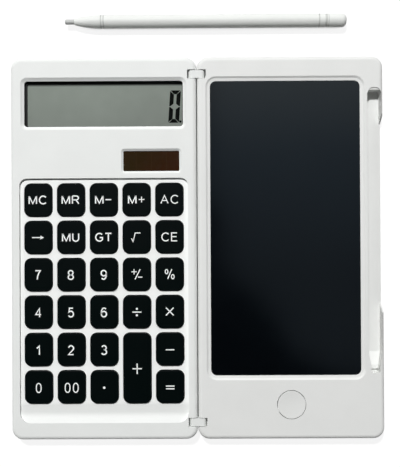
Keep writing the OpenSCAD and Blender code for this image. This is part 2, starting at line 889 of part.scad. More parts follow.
// The frame stands up round the window, and its thin inner part lies on the glass round the clear cover.
module display_frame() {
  color(black)
    at_calculator()
      difference() {
        translate([0, display_y, 0])
          prism(glass_z, lip_z)
            square([glass_w, frame_h], center = true);
        translate([0, display_y, 0])
          prism(cover_z, lip_z + cut)
            rounded(display_w, display_h, display_r);
        translate([view_x, view_y, 0])
          prism(glass_z - cut, lip_z)
            rounded(view_w, view_h, view_r);
      }
}

module display_cover() {
  color([0.8, 0.85, 0.85, 0.3])
    at_calculator()
      translate([view_x, view_y, 0])
        prism(glass_z, cover_z)
          rounded(view_w - 2 * cover_gap, view_h - 2 * cover_gap, view_r - cover_gap);
}

module display_glass() {
  color([0.5, 0.53, 0.5])
    at_calculator()
      translate([0, display_y, 0]) {
        block(-glass_w / 2, glass_w / 2, -glass_h / 2, glass_h / 2, glass_z - glass_t, glass_z);
        block(-glass_w / 2, glass_w / 2, ledge_w - glass_h / 2, glass_h / 2,
          glass_z - 2 * glass_t, glass_z - glass_t);
      }
}

module display_connector() {
  x = glass_w / 2 - connector_end;
  y = display_y - glass_h / 2 + connector_edge;
  color([0.75, 0.45, 0.5])
    at_calculator()
      block(-x, x, y, y + connector_w, board_top_z, glass_z - glass_t);
}

module solar_outline(grow) {
  reach = solar_margin + grow;
  square([solar_w + 2 * reach, solar_h + 2 * reach], center = true);
}

module solar_cell() {
  color([0.16, 0.11, 0.05])
    at_calculator()
      translate([solar_x, solar_y, 0])
        prism(solar_z - solar_t, solar_z)
          solar_outline(0);
}

// Rubber sheet with a hollow dome under each key, and a contact pill that hangs from each dome's top.
module dome(r, r_top, z_top) {
  translate([0, 0, board_top_z])
    cylinder(r1 = r, r2 = r_top, h = z_top - board_top_z);
}

module dome_sheet() {
  ceiling_z = flange_z - dome_wall;
  color([0.75, 0.76, 0.75])
    at_calculator() {
      difference() {
        union() {
          block(-sheet_w / 2, sheet_w / 2, board_foot_y + sheet_inset, pan_head_y, board_top_z, sheet_top_z);
          for (k = KEYS)
            at_key(k)
              dome(dome_r, dome_top_r, flange_z);
        }
        for (k = KEYS)
          at_key(k)
            dome(dome_r - dome_wall, dome_top_r - dome_wall, ceiling_z);
      }
      for (k = KEYS)
        at_key(k)
          prism(board_top_z + key_travel, ceiling_z + lap)
            circle(pill_r);
    }
}

module main_board() {
  color([0.1, 0.3, 0.15])
    at_calculator()
      difference() {
        block(-board_w / 2, board_w / 2, board_foot_y, board_head_y, board_z, board_top_z);
        translate([-cell_x, cell_y, 0])
          prism(board_z - cut, board_top_z + cut)
            circle(cell_r + cell_board_gap);
        translate([door_screw_x, cell_y, 0])
          prism(board_z - cut, board_top_z + cut)
            circle(door_shank_r + boss_wall + boss_gap);
      }
}

// A round cell that lies on its door with its small end down.
module cell(r, t) {
  prism(door_t, door_t + t)
    circle(r - cell_step);
  prism(door_t + cell_step_h, door_t + t)
    circle(r);
}

module button_cell() {
  color(steel)
    at_calculator()
      translate([-cell_x, cell_y, 0])
        cell(cell_r, cell_t);
}

module calculator_contacts() {
  w = contact_w / 2;
  z = door_t + cell_t;
  y_foot = cell_r + cell_board_gap;
  x_rim = -cell_r - contact_gap;
  z_foot = board_top_z + contact_t;
  color([0.8, 0.7, 0.4])
    at_calculator()
      translate([-cell_x, cell_y, 0]) {
        block(-w, w, -contact_past, y_foot + contact_reach, z, z + contact_t);
        block(-w, w, y_foot + contact_reach / 2, y_foot + contact_reach, board_top_z, z + lap);
        block(x_rim - contact_t, x_rim, -w, w, door_t + 2 * cell_step_h, z_foot);
        block(-y_foot - contact_reach, x_rim, -w, w, board_top_z, z_foot);
      }
}

module calculator_battery_door() {
  color(white)
    at_calculator()
      door(door_x, cell_y, door_l, door_w, door_screw_x);
}

module calculator_screws() {
  color(steel)
    at_calculator() {
      at_screws()
        screw(head_r, head_t, head_drop, shank_r, shank_l);
      translate([door_screw_x, cell_y, 0])
        door_screw();
    }
}

module calculator_hinge_pins() {
  color(steel)
    at_calculator()
      hinge_pin_pair(1);
}

// Keys, from left to right and from top to bottom.
module key_mc() { color(black) key_cap(KEYS[0]); }
module key_mr() { color(black) key_cap(KEYS[1]); }
module key_m_minus() { color(black) key_cap(KEYS[2]); }
module key_m_plus() { color(black) key_cap(KEYS[3]); }
module key_ac() { color(black) key_cap(KEYS[4]); }
module key_back() { color(black) key_cap(KEYS[5]); }
module key_mu() { color(black) key_cap(KEYS[6]); }
module key_gt() { color(black) key_cap(KEYS[7]); }
module key_root() { color(black) key_cap(KEYS[8]); }
module key_ce() { color(black) key_cap(KEYS[9]); }
module key_7() { color(black) key_cap(KEYS[10]); }
module key_8() { color(black) key_cap(KEYS[11]); }
module key_9() { color(black) key_cap(KEYS[12]); }
module key_sign() { color(black) key_cap(KEYS[13]); }
module key_percent() { color(black) key_cap(KEYS[14]); }
module key_4() { color(black) key_cap(KEYS[15]); }
module key_5() { color(black) key_cap(KEYS[16]); }
module key_6() { color(black) key_cap(KEYS[17]); }
module key_divide() { color(black) key_cap(KEYS[18]); }
module key_times() { color(black) key_cap(KEYS[19]); }
module key_1() { color(black) key_cap(KEYS[20]); }
module key_2() { color(black) key_cap(KEYS[21]); }
module key_3() { color(black) key_cap(KEYS[22]); }
module key_plus() { color(black) key_cap(KEYS[23]); }
module key_minus() { color(black) key_cap(KEYS[24]); }
module key_0() { color(black) key_cap(KEYS[25]); }
module key_00() { color(black) key_cap(KEYS[26]); }
module key_point() { color(black) key_cap(KEYS[27]); }
module key_equals() { color(black) key_cap(KEYS[28]); }

// Links that join the two halves, each with one bore for each half's pin.
module hinge_links() {
  p = half_gap / 2 + front_edge_r;
  color(white)
    for (y = [-hinge_y, hinge_y])
      translate([0, case_y + y, pivot_z])
        rotate([90, 0, 0])
          linear_extrude(link_w, center = true)
            difference() {
              union() {
                square([2 * p, 2 * link_end_r], center = true);
                for (x = [-p, p])
                  translate([x, 0])
                    circle(link_end_r);
              }
              for (x = [-p, p])
                translate([x, 0])
                  circle(pin_r + pin_run_gap);
            }
}

// Stylus channel in the tablet half, as long as the stylus and open at the side where a thumb pushes it out.
module slot_outline() {
  y_notch = slot_end_y + notch_l;
  y_taper = y_notch + slot_taper_l;
  y_head = slot_head_y - slot_w / 2;
  translate([-slot_w / 2, y_taper])
    square([slot_w, y_head - y_taper]);
  translate([0, y_head])
    circle(slot_w / 2);
  polygon([
    [-slot_tip_w / 2, y_notch],
    [slot_tip_w / 2, y_notch],
    [slot_w / 2, y_taper],
    [-slot_w / 2, y_taper]
  ]);
  translate([0, slot_end_y + notch_l / 2])
    rounded(slot_tip_w, notch_l, notch_r);
  translate([-slot_tip_w / 2, y_notch - notch_l / 2])
    square([slot_tip_w, notch_l / 2]);
}

// Side view of what stays in the channel: the ledge at its head and the raised floor under the tip.
module slot_steps() {
  y_pit = slot_end_y + pit_l;
  y_rise = slot_tip_y + tip_l;
  translate([slot_head_y - ledge_l, slot_z - 2 * cut])
    square([ledge_l + cut, case_t - ledge_d - slot_z + 2 * cut]);
  polygon([
    [y_pit, slot_z - 2 * cut],
    [y_pit, slot_z + floor_rise],
    [y_rise, slot_z + floor_rise],
    [y_rise + rise_l, slot_z],
    [y_rise + rise_l, slot_z - 2 * cut]
  ]);
}

module slot_side() {
  y1 = slot_head_y - side_from_head;
  y0 = y1 - side_l;
  h = case_t - slot_z + cut;
  s = side_slope_l * h / (case_t - slot_z);
  polygon([
    [y0, slot_z - cut],
    [y1, slot_z - cut],
    [y1, slot_z],
    [y1 + s, slot_z + h],
    [y0 - s, slot_z + h],
    [y0, slot_z]
  ]);
}

module slot_cuts() {
  translate([slot_x, 0, 0]) {
    difference() {
      prism(slot_z - cut, case_t + cut)
        slot_outline();
      rotate([90, 0, 90])
        linear_extrude(2 * slot_w, center = true)
          slot_steps();
    }
    rotate([90, 0, 90])
      linear_extrude(slot_w)
        slot_side();
    translate([0, slot_end_y + lap, pen_z])
      rotate([90, 0, 0])
        cylinder(r = tip_r + tip_room, h = lap + tip_seat_l + slot_room);
  }
}

module slot_walls() {
  block(half_w / 2 - block_w, half_w, block_foot_y, block_head_y, 0, case_t);
}

// Edge profile of the screen's opening: a steep outer slope and a flatter ledge inside it.
module bezel() {
  z_edge = screen_z + screen_edge_t;
  polygon([
    [0, face_z - cut],
    [screen_r, face_z - cut],
    [screen_r, z_edge],
    [screen_r + bezel_ledge_w, z_edge + bezel_ledge_rise],
    [screen_r + bezel_w, case_t],
    [screen_r + bezel_w, case_t + cut],
    [0, case_t + cut]
  ]);
}

// Tablet half.
module tablet_front_shell() {
  color(white)
    at_tablet()
      difference() {
        front_body();
        difference() {
          prism(parting_z - cut, face_z)
            inner_outline();
          slot_walls();
          at_screws()
            prism(parting_z - 2 * cut, case_t)
              circle(post_r);
          hinge_walls(-1);
        }
        slot_cuts();
        translate([screen_x, screen_y, 0]) {
          edged_plate(screen_w, screen_l, screen_r, face_z - cut, case_t + cut)
            bezel();
          prism(face_z - cut, screen_z)
            square([film_w + 2 * film_gap, film_l + 2 * film_gap], center = true);
        }
        translate([0, button_y, 0])
          prism(face_z - cut, case_t + cut)
            circle(button_r + button_gap);
        screw_pilots();
        hinge_cuts(-1);
      }
}

module tablet_back_shell() {
  rib_foot = screen_y - screen_l / 2 + rib_inset;
  rib_head = screen_y + screen_l / 2 - rib_inset;
  board_rib = erase_board_w / 2 - rib_inset;
  color(white)
    at_tablet()
      difference() {
        union() {
          difference() {
            back_body();
            difference() {
              prism(floor_t, parting_z + cut)
                inner_outline();
              slot_walls();
              at_screws()
                prism(0, parting_z + 2 * cut)
                  circle(head_r + well_wall);
            }
          }
          for (x = [screen_x - screen_w / 3, screen_x, screen_x + screen_w / 3])
            block(x - rib_t / 2, x + rib_t / 2, rib_foot, rib_head, floor_t - lap, backing_z);
          for (y = [button_y - board_rib, button_y + board_rib])
            block(-erase_board_w / 2, erase_board_w / 2, y - rib_t / 2, y + rib_t / 2,
              floor_t - lap, erase_board_z);
          tab(-1);
          door_boss(coin_screw_x, coin_y);
        }
        screw_wells();
        door_well(coin_door_x, coin_y, coin_door_l, coin_door_w, -coin_x, coin_r, coin_screw_x);
      }
}

module writing_film() {
  color([0.03, 0.04, 0.05])
    at_tablet()
      translate([screen_x, screen_y, 0])
        prism(screen_z - film_t, screen_z)
          square([film_w, film_l], center = true);
}

module film_backing() {
  color(black)
    at_tablet()
      translate([screen_x, screen_y, 0])
        prism(backing_z, backing_z + backing_t)
          square([film_w, film_l], center = true);
}

module erase_button() {
  dish_r = (pow(button_r - dish_rim, 2) + button_dish * button_dish) / (2 * button_dish);
  color(white)
    at_tablet()
      translate([0, button_y, 0])
        difference() {
          union() {
            prism(face_z - lap, case_t)
              circle(button_r);
            prism(button_flange_z, face_z)
              circle(button_r + button_flange_w);
            prism(switch_top_z - stem_depth, button_flange_z + lap)
              circle(button_stem_r);
          }
          translate([0, 0, case_t - button_dish + dish_r])
            sphere(dish_r, $fn = 200);
        }
}

module erase_switch() {
  color([0.2, 0.2, 0.2])
    at_tablet()
      translate([0, button_y, 0])
        difference() {
          prism(switch_z, switch_top_z)
            square(switch_w, center = true);
          prism(switch_top_z - stem_depth - button_travel - stem_room, switch_top_z + cut)
            circle(button_stem_r + stem_gap);
        }
}

module erase_board() {
  color([0.1, 0.3, 0.15])
    at_tablet()
      translate([0, button_y, 0])
        prism(erase_board_z, switch_z)
          square(erase_board_w, center = true);
}

module coin_cell() {
  color(steel)
    at_tablet()
      translate([-coin_x, coin_y, 0])
        cell(coin_r, coin_t);
}

module tablet_contacts() {
  w = contact_w / 2;
  z = door_t + coin_t;
  x_board = coin_x - erase_board_w / 2;
  x_leg = x_board - contact_gap;
  z_foot = switch_z + contact_t;
  color([0.8, 0.7, 0.4])
    at_tablet()
      translate([-coin_x, coin_y, 0]) {
        block(-contact_past, x_leg, -w, w, z, z + contact_t);
        block(x_leg - contact_t, x_leg, -w, w, z, z_foot);
        block(x_leg - contact_t, x_board + contact_reach, -w, w, switch_z, z_foot);
      }
}

module tablet_battery_door() {
  color(white)
    at_tablet()
      door(coin_door_x, coin_y, coin_door_l, coin_door_w, coin_screw_x);
}

module tablet_screws() {
  color(steel)
    at_tablet() {
      at_screws()
        screw(head_r, head_t, head_drop, shank_r, shank_l);
      translate([coin_screw_x, coin_y, 0])
        door_screw();
    }
}

module tablet_hinge_pins() {
  color(steel)
    at_tablet()
      hinge_pin_pair(-1);
}

// Stylus. Its profiles run along the axis from the tip.
module along_stylus() {
  translate([pen_x - pen_l / 2, pen_y, pen_r])
    rotate([0, 90, 0])
      rotate_extrude()
        children();
}

module ring(z, w, d) {
  translate([pen_r - d, z - w / 2])
    square([d + cut, w]);
}

module stylus_tip() {
  color([0.56, 0.56, 0.56])
    along_stylus()
      round_bottom(tip_r, tip_edge_r, 0, tip_l + tip_shank_l);
}

module stylus_nose() {
  color(white)
    along_stylus()
      difference() {
        union() {
          intersection() {
            translate([pen_r - ogive_r, barrel_z])
              circle(ogive_r, $fn = 720);
            translate([0, tip_l])
              square([pen_r + cut, nose_l]);
          }
          translate([0, barrel_z - lap])
            square([bore_r - plug_gap, plug_l + lap]);
        }
        ring(barrel_z, ring_w, ring_d);
        translate([-cut, tip_l - cut])
          square([cut + tip_r + tip_gap, cut + tip_shank_l]);
      }
}

module stylus_barrel() {
  color(white)
    along_stylus()
      difference() {
        translate([bore_r, barrel_z])
          square([barrel_wall, cap_z - barrel_z]);
        ring(barrel_z + ring_at, ring_w, ring_d);
      }
}

module stylus_end_cap() {
  color(white)
    along_stylus()
      difference() {
        union() {
          translate([0, cap_z])
            round_top(pen_r, cap_end_r, 0, cap_l);
          translate([0, cap_z - plug_l])
            square([bore_r - plug_gap, plug_l + lap]);
        }
        ring(cap_z, ring_w, ring_d);
        ring(cap_z + cap_groove_at, cap_groove_w, cap_groove_d);
      }
}

calculator_front_shell();
calculator_back_shell();
display_frame();
display_cover();
display_glass();
display_connector();
solar_cell();
dome_sheet();
main_board();
button_cell();
calculator_contacts();
calculator_battery_door();
calculator_screws();
calculator_hinge_pins();
key_mc();
key_mr();
key_m_minus();
key_m_plus();
key_ac();
key_back();
key_mu();
key_gt();
key_root();
key_ce();
key_7();
key_8();
key_9();
key_sign();
key_percent();
key_4();
key_5();
key_6();
key_divide();
key_times();
key_1();
key_2();
key_3();
key_plus();
key_minus();
key_0();
key_00();
key_point();
key_equals();
hinge_links();
tablet_front_shell();
tablet_back_shell();
writing_film();
film_backing();
erase_button();
erase_switch();
erase_board();
coin_cell();
tablet_contacts();
tablet_battery_door();
tablet_screws();
tablet_hinge_pins();
stylus_tip();
stylus_nose();
stylus_barrel();
stylus_end_cap();
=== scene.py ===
"""Looks of a folding calculator, its writing tablet and the stylus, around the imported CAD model."""

import math

import bmesh
import bpy
from mathutils import Matrix, Vector


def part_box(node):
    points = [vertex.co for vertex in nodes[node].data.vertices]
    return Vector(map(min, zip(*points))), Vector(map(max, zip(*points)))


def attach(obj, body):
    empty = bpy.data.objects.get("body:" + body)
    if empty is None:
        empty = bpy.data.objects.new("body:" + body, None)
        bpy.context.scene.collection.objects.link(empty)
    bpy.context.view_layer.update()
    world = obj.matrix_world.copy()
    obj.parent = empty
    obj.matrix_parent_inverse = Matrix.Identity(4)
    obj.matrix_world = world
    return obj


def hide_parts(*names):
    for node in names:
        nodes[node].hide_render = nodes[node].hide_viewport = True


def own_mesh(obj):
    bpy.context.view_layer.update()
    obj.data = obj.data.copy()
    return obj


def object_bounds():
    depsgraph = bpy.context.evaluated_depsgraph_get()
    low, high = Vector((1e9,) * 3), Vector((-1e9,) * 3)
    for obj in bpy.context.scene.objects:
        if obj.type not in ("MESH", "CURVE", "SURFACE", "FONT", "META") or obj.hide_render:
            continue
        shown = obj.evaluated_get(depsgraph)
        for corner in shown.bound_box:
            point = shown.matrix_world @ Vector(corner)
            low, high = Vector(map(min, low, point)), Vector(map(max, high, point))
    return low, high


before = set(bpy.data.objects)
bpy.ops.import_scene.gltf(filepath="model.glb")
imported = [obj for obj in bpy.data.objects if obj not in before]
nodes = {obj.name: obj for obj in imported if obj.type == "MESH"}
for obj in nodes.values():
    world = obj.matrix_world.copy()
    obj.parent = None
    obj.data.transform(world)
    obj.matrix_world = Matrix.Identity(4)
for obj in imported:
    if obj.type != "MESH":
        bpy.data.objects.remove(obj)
cad_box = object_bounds()

MM = 0.001
scene = bpy.context.scene


# Small helpers for colours and node trees

def linear(level):
    """One sRGB channel, 0 to 255, as linear light."""
    share = level / 255
    if share <= 0.04045:
        return share / 12.92
    return ((share + 0.055) / 1.055) ** 2.4


def srgb(red, green, blue):
    """An sRGB colour as a linear colour with alpha."""
    return (linear(red), linear(green), linear(blue), 1.0)


def new_material(name):
    """A material, its node tree and its Principled shader."""
    material = bpy.data.materials.new(name)
    material.use_nodes = True
    tree = material.node_tree
    return material, tree, tree.nodes["Principled BSDF"]


def coordinates(tree):
    """The mesh's own coordinates, in metres."""
    return tree.nodes.new("ShaderNodeTexCoord").outputs["Object"]


def axes(tree, vector):
    """The X, Y and Z of a vector."""
    split = tree.nodes.new("ShaderNodeSeparateXYZ")
    tree.links.new(vector, split.inputs["Vector"])
    return split.outputs


def stretched(tree, vector, x, y, z):
    """Coordinates scaled by a factor along each axis."""
    mapping = tree.nodes.new("ShaderNodeMapping")
    mapping.inputs["Scale"].default_value = (x, y, z)
    tree.links.new(vector, mapping.inputs["Vector"])
    return mapping.outputs["Vector"]


def noise(tree, cell, detail=2.0, vector=None):
    """Noise whose spots are about cell metres wide, from 0 to 1."""
    texture = tree.nodes.new("ShaderNodeTexNoise")
    texture.inputs["Scale"].default_value = 1 / cell
    texture.inputs["Detail"].default_value = detail
    tree.links.new(vector or coordinates(tree), texture.inputs["Vector"])
    return texture.outputs["Fac"]


# Most values of a noise lie between these.
NOISE_LOW = 0.3
NOISE_HIGH = 0.7


def between(tree, value, low, high, start=NOISE_LOW, end=NOISE_HIGH):
    """A value that runs from low to high while the input runs from start to end."""
    spread = tree.nodes.new("ShaderNodeMapRange")
    spread.inputs["From Min"].default_value = start
    spread.inputs["From Max"].default_value = end
    spread.inputs["To Min"].default_value = low
    spread.inputs["To Max"].default_value = high
    tree.links.new(value, spread.inputs["Value"])
    return spread.outputs["Result"]


def math_node(tree, operation, first, second):
    """The result of an operation on two outputs, or on an output and a number."""
    node = tree.nodes.new("ShaderNodeMath")
    node.operation = operation
    for socket, value in zip(node.inputs, (first, second)):
        if isinstance(value, float):
            socket.default_value = value
        else:
            tree.links.new(value, socket)
    return node.outputs["Value"]


def blend_colours(tree, factor, first, second):
    """First where the factor is 0, second where it is 1. Each is a colour or an output."""
    mix = tree.nodes.new("ShaderNodeMix")
    mix.data_type = "RGBA"
    colour_sockets = [s for s in mix.inputs if s.type == "RGBA"]
    for socket, colour in zip(colour_sockets, (first, second)):
        if isinstance(colour, tuple):
            socket.default_value = colour
        else:
            tree.links.new(colour, socket)
    tree.links.new(factor, mix.inputs["Factor"])
    return next(s for s in mix.outputs if s.type == "RGBA")


def bump(tree, shader, height, depth):
    """Relief of that depth in metres, from a height between 0 and 1."""
    relief = tree.nodes.new("ShaderNodeBump")
    relief.inputs["Strength"].default_value = 1.0
    relief.inputs["Distance"].default_value = depth
    tree.links.new(height, relief.inputs["Height"])
    tree.links.new(relief.outputs["Normal"], shader.inputs["Normal"])


def roughen(tree, shader, texture, low, high):
    """Roughness from low to high, as a noise runs."""
    tree.links.new(between(tree, texture, low, high), shader.inputs["Roughness"])


# Materials

# Depths under the face between which the keypad's recess is painted whiter: painted light that lifts
# the shade between the keys
RECESS_START = 0.3 * MM
RECESS_FULL = 1.1 * MM
RECESS_PAINTED_WHITE = srgb(251, 253, 251)

# The strip along the recess's foot, which gets no painted light: where its two sides fade, from the
# lowest keys' edge
KEY_SIDE_LOW = -0.3 * MM
KEY_SIDE_HIGH = 1.0 * MM
RAMP_SIDE_LOW = -5.5 * MM
RAMP_SIDE_HIGH = -3.4 * MM

# The stylus's grooves, greyed with painted shade and grime: half widths, and places from the ends of
# the barrel
GROOVE_HALF = 0.22 * MM
GROOVE_EDGE = 0.12 * MM
NOSE_GROOVE = 1.2 * MM
WIDE_CAP_GROOVE = 3.2 * MM
FINE_CAP_GROOVE = 4.3 * MM
GROOVE_SHADE_GREY = srgb(205, 207, 204)

# Moulded plastic: the size of its clouds, and how far its roughness strays
CLOUD_SIZE = 14 * MM
SMOOTHER = 0.05
ROUGHER = 0.07

# Metal: its fine lines, and how much rougher they are
BRUSH_WIDTH = 0.12 * MM
BRUSH_DEPTH = 0.004 * MM
BRUSH_SPREAD = 0.15

# The display's painted shadow along its head, under the window's lip, and the solar cell's lines
HEAD_SHADOW_WIDTH = 1.4 * MM
SOLAR_PANES = 4
SOLAR_LINE_HALF = 0.08 * MM
SOLAR_LINE_FADE = 0.16 * MM

# Gloss, as the shader's specular level
SATIN = 0.2
KEY_GLOSS = 0.05
FRAME_GLOSS = 0.15
SOLAR_GLOSS = 0.3
INK_GLOSS = 0.04


def recess_painted_light(tree, base):
    """Painted light: the keypad's recess is painted whiter than the face round it, lifting the shade
    between the keys, apart from a strip along its foot.
    """
    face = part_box("calculator_front_shell")[1].z
    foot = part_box("key_0")[0].y
    place = axes(tree, coordinates(tree))
    depths = between(tree, place["Z"], 1.0, 0.0, face - RECESS_FULL, face - RECESS_START)
    under_keys = between(tree, place["Y"], 1.0, 0.0, foot + KEY_SIDE_LOW, foot + KEY_SIDE_HIGH)
    above_ramp = between(tree, place["Y"], 0.0, 1.0, foot + RAMP_SIDE_LOW, foot + RAMP_SIDE_HIGH)
    strip = math_node(tree, "MULTIPLY", under_keys, above_ramp)
    painted_light = math_node(tree, "MULTIPLY", depths, math_node(tree, "SUBTRACT", 1.0, strip))
    return blend_colours(tree, painted_light, base, RECESS_PAINTED_WHITE)


def groove_shade_and_grime(tree, base):
    """The stylus's grooves, greyed with painted shade and the grime that gathers in them: two near the
    nose, three in the end cap.
    """
    low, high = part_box("stylus_barrel")
    grooves = (
        (low.x, GROOVE_HALF), (low.x + NOSE_GROOVE, GROOVE_HALF), (high.x, GROOVE_HALF),
        (high.x + WIDE_CAP_GROOVE, 2 * GROOVE_HALF), (high.x + FINE_CAP_GROOVE, GROOVE_HALF / 2),
    )
    x = axes(tree, coordinates(tree))["X"]
    for place, half in grooves:
        away = math_node(tree, "ABSOLUTE", math_node(tree, "SUBTRACT", x, place), 0.0)
        line = between(tree, away, 1.0, 0.0, half, half + GROOVE_EDGE)
        base = blend_colours(tree, line, base, GROOVE_SHADE_GREY)
    return base


def moulded_plastic(name, colour, shade, roughness, grain, depth, gloss=0.5, overlay=None):
    """Injection-moulded plastic: clouds of a second shade and a fine sparked grain.

    The grain is the width of its spots and the depth is their relief. An overlay is a function of the
    node tree and its base colour that gives the colour to use.
    """
    material, tree, shader = new_material(name)
    clouds = between(tree, noise(tree, CLOUD_SIZE, 4.0), 0.0, 1.0)
    base = blend_colours(tree, clouds, colour, shade)
    if overlay:
        base = overlay(tree, base)
    tree.links.new(base, shader.inputs["Base Color"])
    texture = noise(tree, grain, 3.0)
    roughen(tree, shader, texture, roughness - SMOOTHER, roughness + ROUGHER)
    shader.inputs["Specular IOR Level"].default_value = gloss
    bump(tree, shader, texture, depth)
    return material


def brushed_metal(name, colour, shade, roughness, along):
    """Plated or rolled metal with fine lines, finer along each axis by its factor in along."""
    material, tree, shader = new_material(name)
    lines = noise(tree, BRUSH_WIDTH, 4.0, stretched(tree, coordinates(tree), *along))
    tree.links.new(blend_colours(tree, lines, colour, shade), shader.inputs["Base Color"])
    roughen(tree, shader, lines, roughness, roughness + BRUSH_SPREAD)
    shader.inputs["Metallic"].default_value = 1.0
    bump(tree, shader, lines, BRUSH_DEPTH)
    return material


def display_glass_material():
    """Grey-green reflective liquid crystal, darker towards its foot, with a painted shadow of the
    window's lip along its head.
    """
    material, tree, shader = new_material("liquid_crystal")
    pale, dark, head_shadow_grey = srgb(143, 152, 143), srgb(116, 122, 116), srgb(54, 58, 55)
    darker_right, darker_foot, cloudy = 0.25, 0.5, 0.1
    cloud_size, speckle_size = 40 * MM, 0.15 * MM
    low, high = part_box("display_glass")
    place = axes(tree, coordinates(tree))
    across = between(tree, place["X"], 0.0, darker_right, low.x, high.x)
    down = between(tree, place["Y"], darker_foot, 0.0, low.y, high.y)
    clouds = between(tree, noise(tree, cloud_size, 1.0), -cloudy, cloudy)
    tone = math_node(tree, "ADD", math_node(tree, "ADD", across, down), clouds)
    crystal = blend_colours(tree, tone, pale, dark)
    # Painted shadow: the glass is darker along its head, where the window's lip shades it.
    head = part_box("display_cover")[1].y
    head_shadow = between(tree, place["Y"], 0.0, 1.0, head - HEAD_SHADOW_WIDTH, head - HEAD_SHADOW_WIDTH / 2)
    tree.links.new(blend_colours(tree, head_shadow, crystal, head_shadow_grey), shader.inputs["Base Color"])
    roughen(tree, shader, noise(tree, speckle_size, 2.0), 0.45, 0.6)
    shader.inputs["Specular IOR Level"].default_value = SATIN
    return material


def clear_cover_material():
    """Clear acrylic, nearly all see-through."""
    material, tree, shader = new_material("clear_acrylic")
    haze_size, clearest, haziest = 6 * MM, 0.02, 0.04
    shader.inputs["Base Color"].default_value = srgb(20, 22, 21)
    haze = noise(tree, haze_size, 3.0)
    tree.links.new(between(tree, haze, clearest, haziest), shader.inputs["Alpha"])
    roughen(tree, shader, haze, 0.03, 0.1)
    return material


def solar_material(panes):
    """Red-brown amorphous cell behind glass: panes with faint lighter lines between them."""
    material, tree, shader = new_material("solar_amorphous")
    left_brown, right_brown, line_brown = srgb(42, 31, 13), srgb(50, 27, 13), srgb(53, 36, 20)
    cloud_size, cloudy, rub_size = 9 * MM, 0.3, 2 * MM
    low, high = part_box("solar_cell")
    pitch = (high.x - low.x) / panes
    x = axes(tree, coordinates(tree))["X"]
    across = between(tree, x, 0.0, 1.0, low.x, high.x)
    clouds = between(tree, noise(tree, cloud_size, 3.0), -cloudy, cloudy)
    tone = math_node(tree, "ADD", across, clouds)
    pane = blend_colours(tree, tone, left_brown, right_brown)
    fold = math_node(tree, "PINGPONG", math_node(tree, "SUBTRACT", x, low.x), pitch / 2)
    line = between(tree, fold, 1.0, 0.0, SOLAR_LINE_HALF, SOLAR_LINE_FADE)
    tree.links.new(blend_colours(tree, line, pane, line_brown), shader.inputs["Base Color"])
    roughen(tree, shader, noise(tree, rub_size), 0.12, 0.2)
    shader.inputs["Specular IOR Level"].default_value = SOLAR_GLOSS
    return material


def film_material():
    """Writing film: glossy dark polyester, hardly rubbed."""
    material, tree, shader = new_material("writing_film_dark")
    cloud_size, rub_size, wave_size, wave_depth = 40 * MM, 12 * MM, 20 * MM, 0.002 * MM
    clouds = between(tree, noise(tree, cloud_size, 3.0), 0.0, 1.0)
    colour = blend_colours(tree, clouds, srgb(2, 4, 7), srgb(3, 6, 9))
    tree.links.new(colour, shader.inputs["Base Color"])
    roughen(tree, shader, noise(tree, rub_size, 2.0), 0.12, 0.15)
    bump(tree, shader, noise(tree, wave_size, 1.0), wave_depth)
    return material


def board_material():
    """Green solder mask over a maze of copper tracks."""
    material, tree, shader = new_material("solder_mask")
    track_pitch, track_full, track_fade, track_depth = 3 * MM, 0.06, 0.1, 0.03 * MM
    mask_green, track_green, rub_size = srgb(24, 84, 52), srgb(58, 120, 66), 2 * MM
    cells = tree.nodes.new("ShaderNodeTexVoronoi")
    cells.distance = "CHEBYCHEV"
    cells.feature = "DISTANCE_TO_EDGE"
    cells.inputs["Scale"].default_value = 1 / track_pitch
    tree.links.new(coordinates(tree), cells.inputs["Vector"])
    tracks = between(tree, cells.outputs["Distance"], 1.0, 0.0, track_full, track_fade)
    colour = blend_colours(tree, tracks, mask_green, track_green)
    tree.links.new(colour, shader.inputs["Base Color"])
    roughen(tree, shader, noise(tree, rub_size), 0.25, 0.4)
    bump(tree, shader, tracks, track_depth)
    return material


def ink_material(name, colour, shade):
    """Printed ink, slightly mottled."""
    material, tree, shader = new_material(name)
    mottle_size = 0.5 * MM
    mottle = between(tree, noise(tree, mottle_size, 3.0), 0.0, 1.0)
    tree.links.new(blend_colours(tree, mottle, colour, shade), shader.inputs["Base Color"])
    tree.links.new(between(tree, mottle, 0.5, 0.65, 0.0, 1.0), shader.inputs["Roughness"])
    shader.inputs["Specular IOR Level"].default_value = INK_GLOSS
    return material


# Materials of the CAD nodes

def paint(material, *names):
    """Puts the material on those CAD nodes."""
    for name in names:
        for place in nodes[name].material_slots:
            place.material = material


KEYS = [name for name in nodes if name.startswith("key_")]

# The keypad shell's recess is painted whiter: painted light.
keypad_white = moulded_plastic(
    "keypad_white_plastic", srgb(238, 240, 238), srgb(235, 237, 235), 0.5, 0.22 * MM, 0.006 * MM,
    SATIN, recess_painted_light)
tablet_white = moulded_plastic(
    "tablet_white_plastic", srgb(234, 235, 233), srgb(231, 232, 230), 0.5, 0.22 * MM, 0.006 * MM, SATIN)
back_white = moulded_plastic(
    "back_white_plastic", srgb(230, 231, 229), srgb(226, 227, 225), 0.55, 0.3 * MM, 0.012 * MM, SATIN)
link_white = moulded_plastic(
    "link_white_plastic", srgb(236, 238, 236), srgb(232, 234, 232), 0.5, 0.2 * MM, 0.006 * MM, SATIN)
button_white = moulded_plastic(
    "button_white_plastic", srgb(232, 233, 231), srgb(229, 230, 228), 0.5, 0.2 * MM, 0.005 * MM, SATIN)
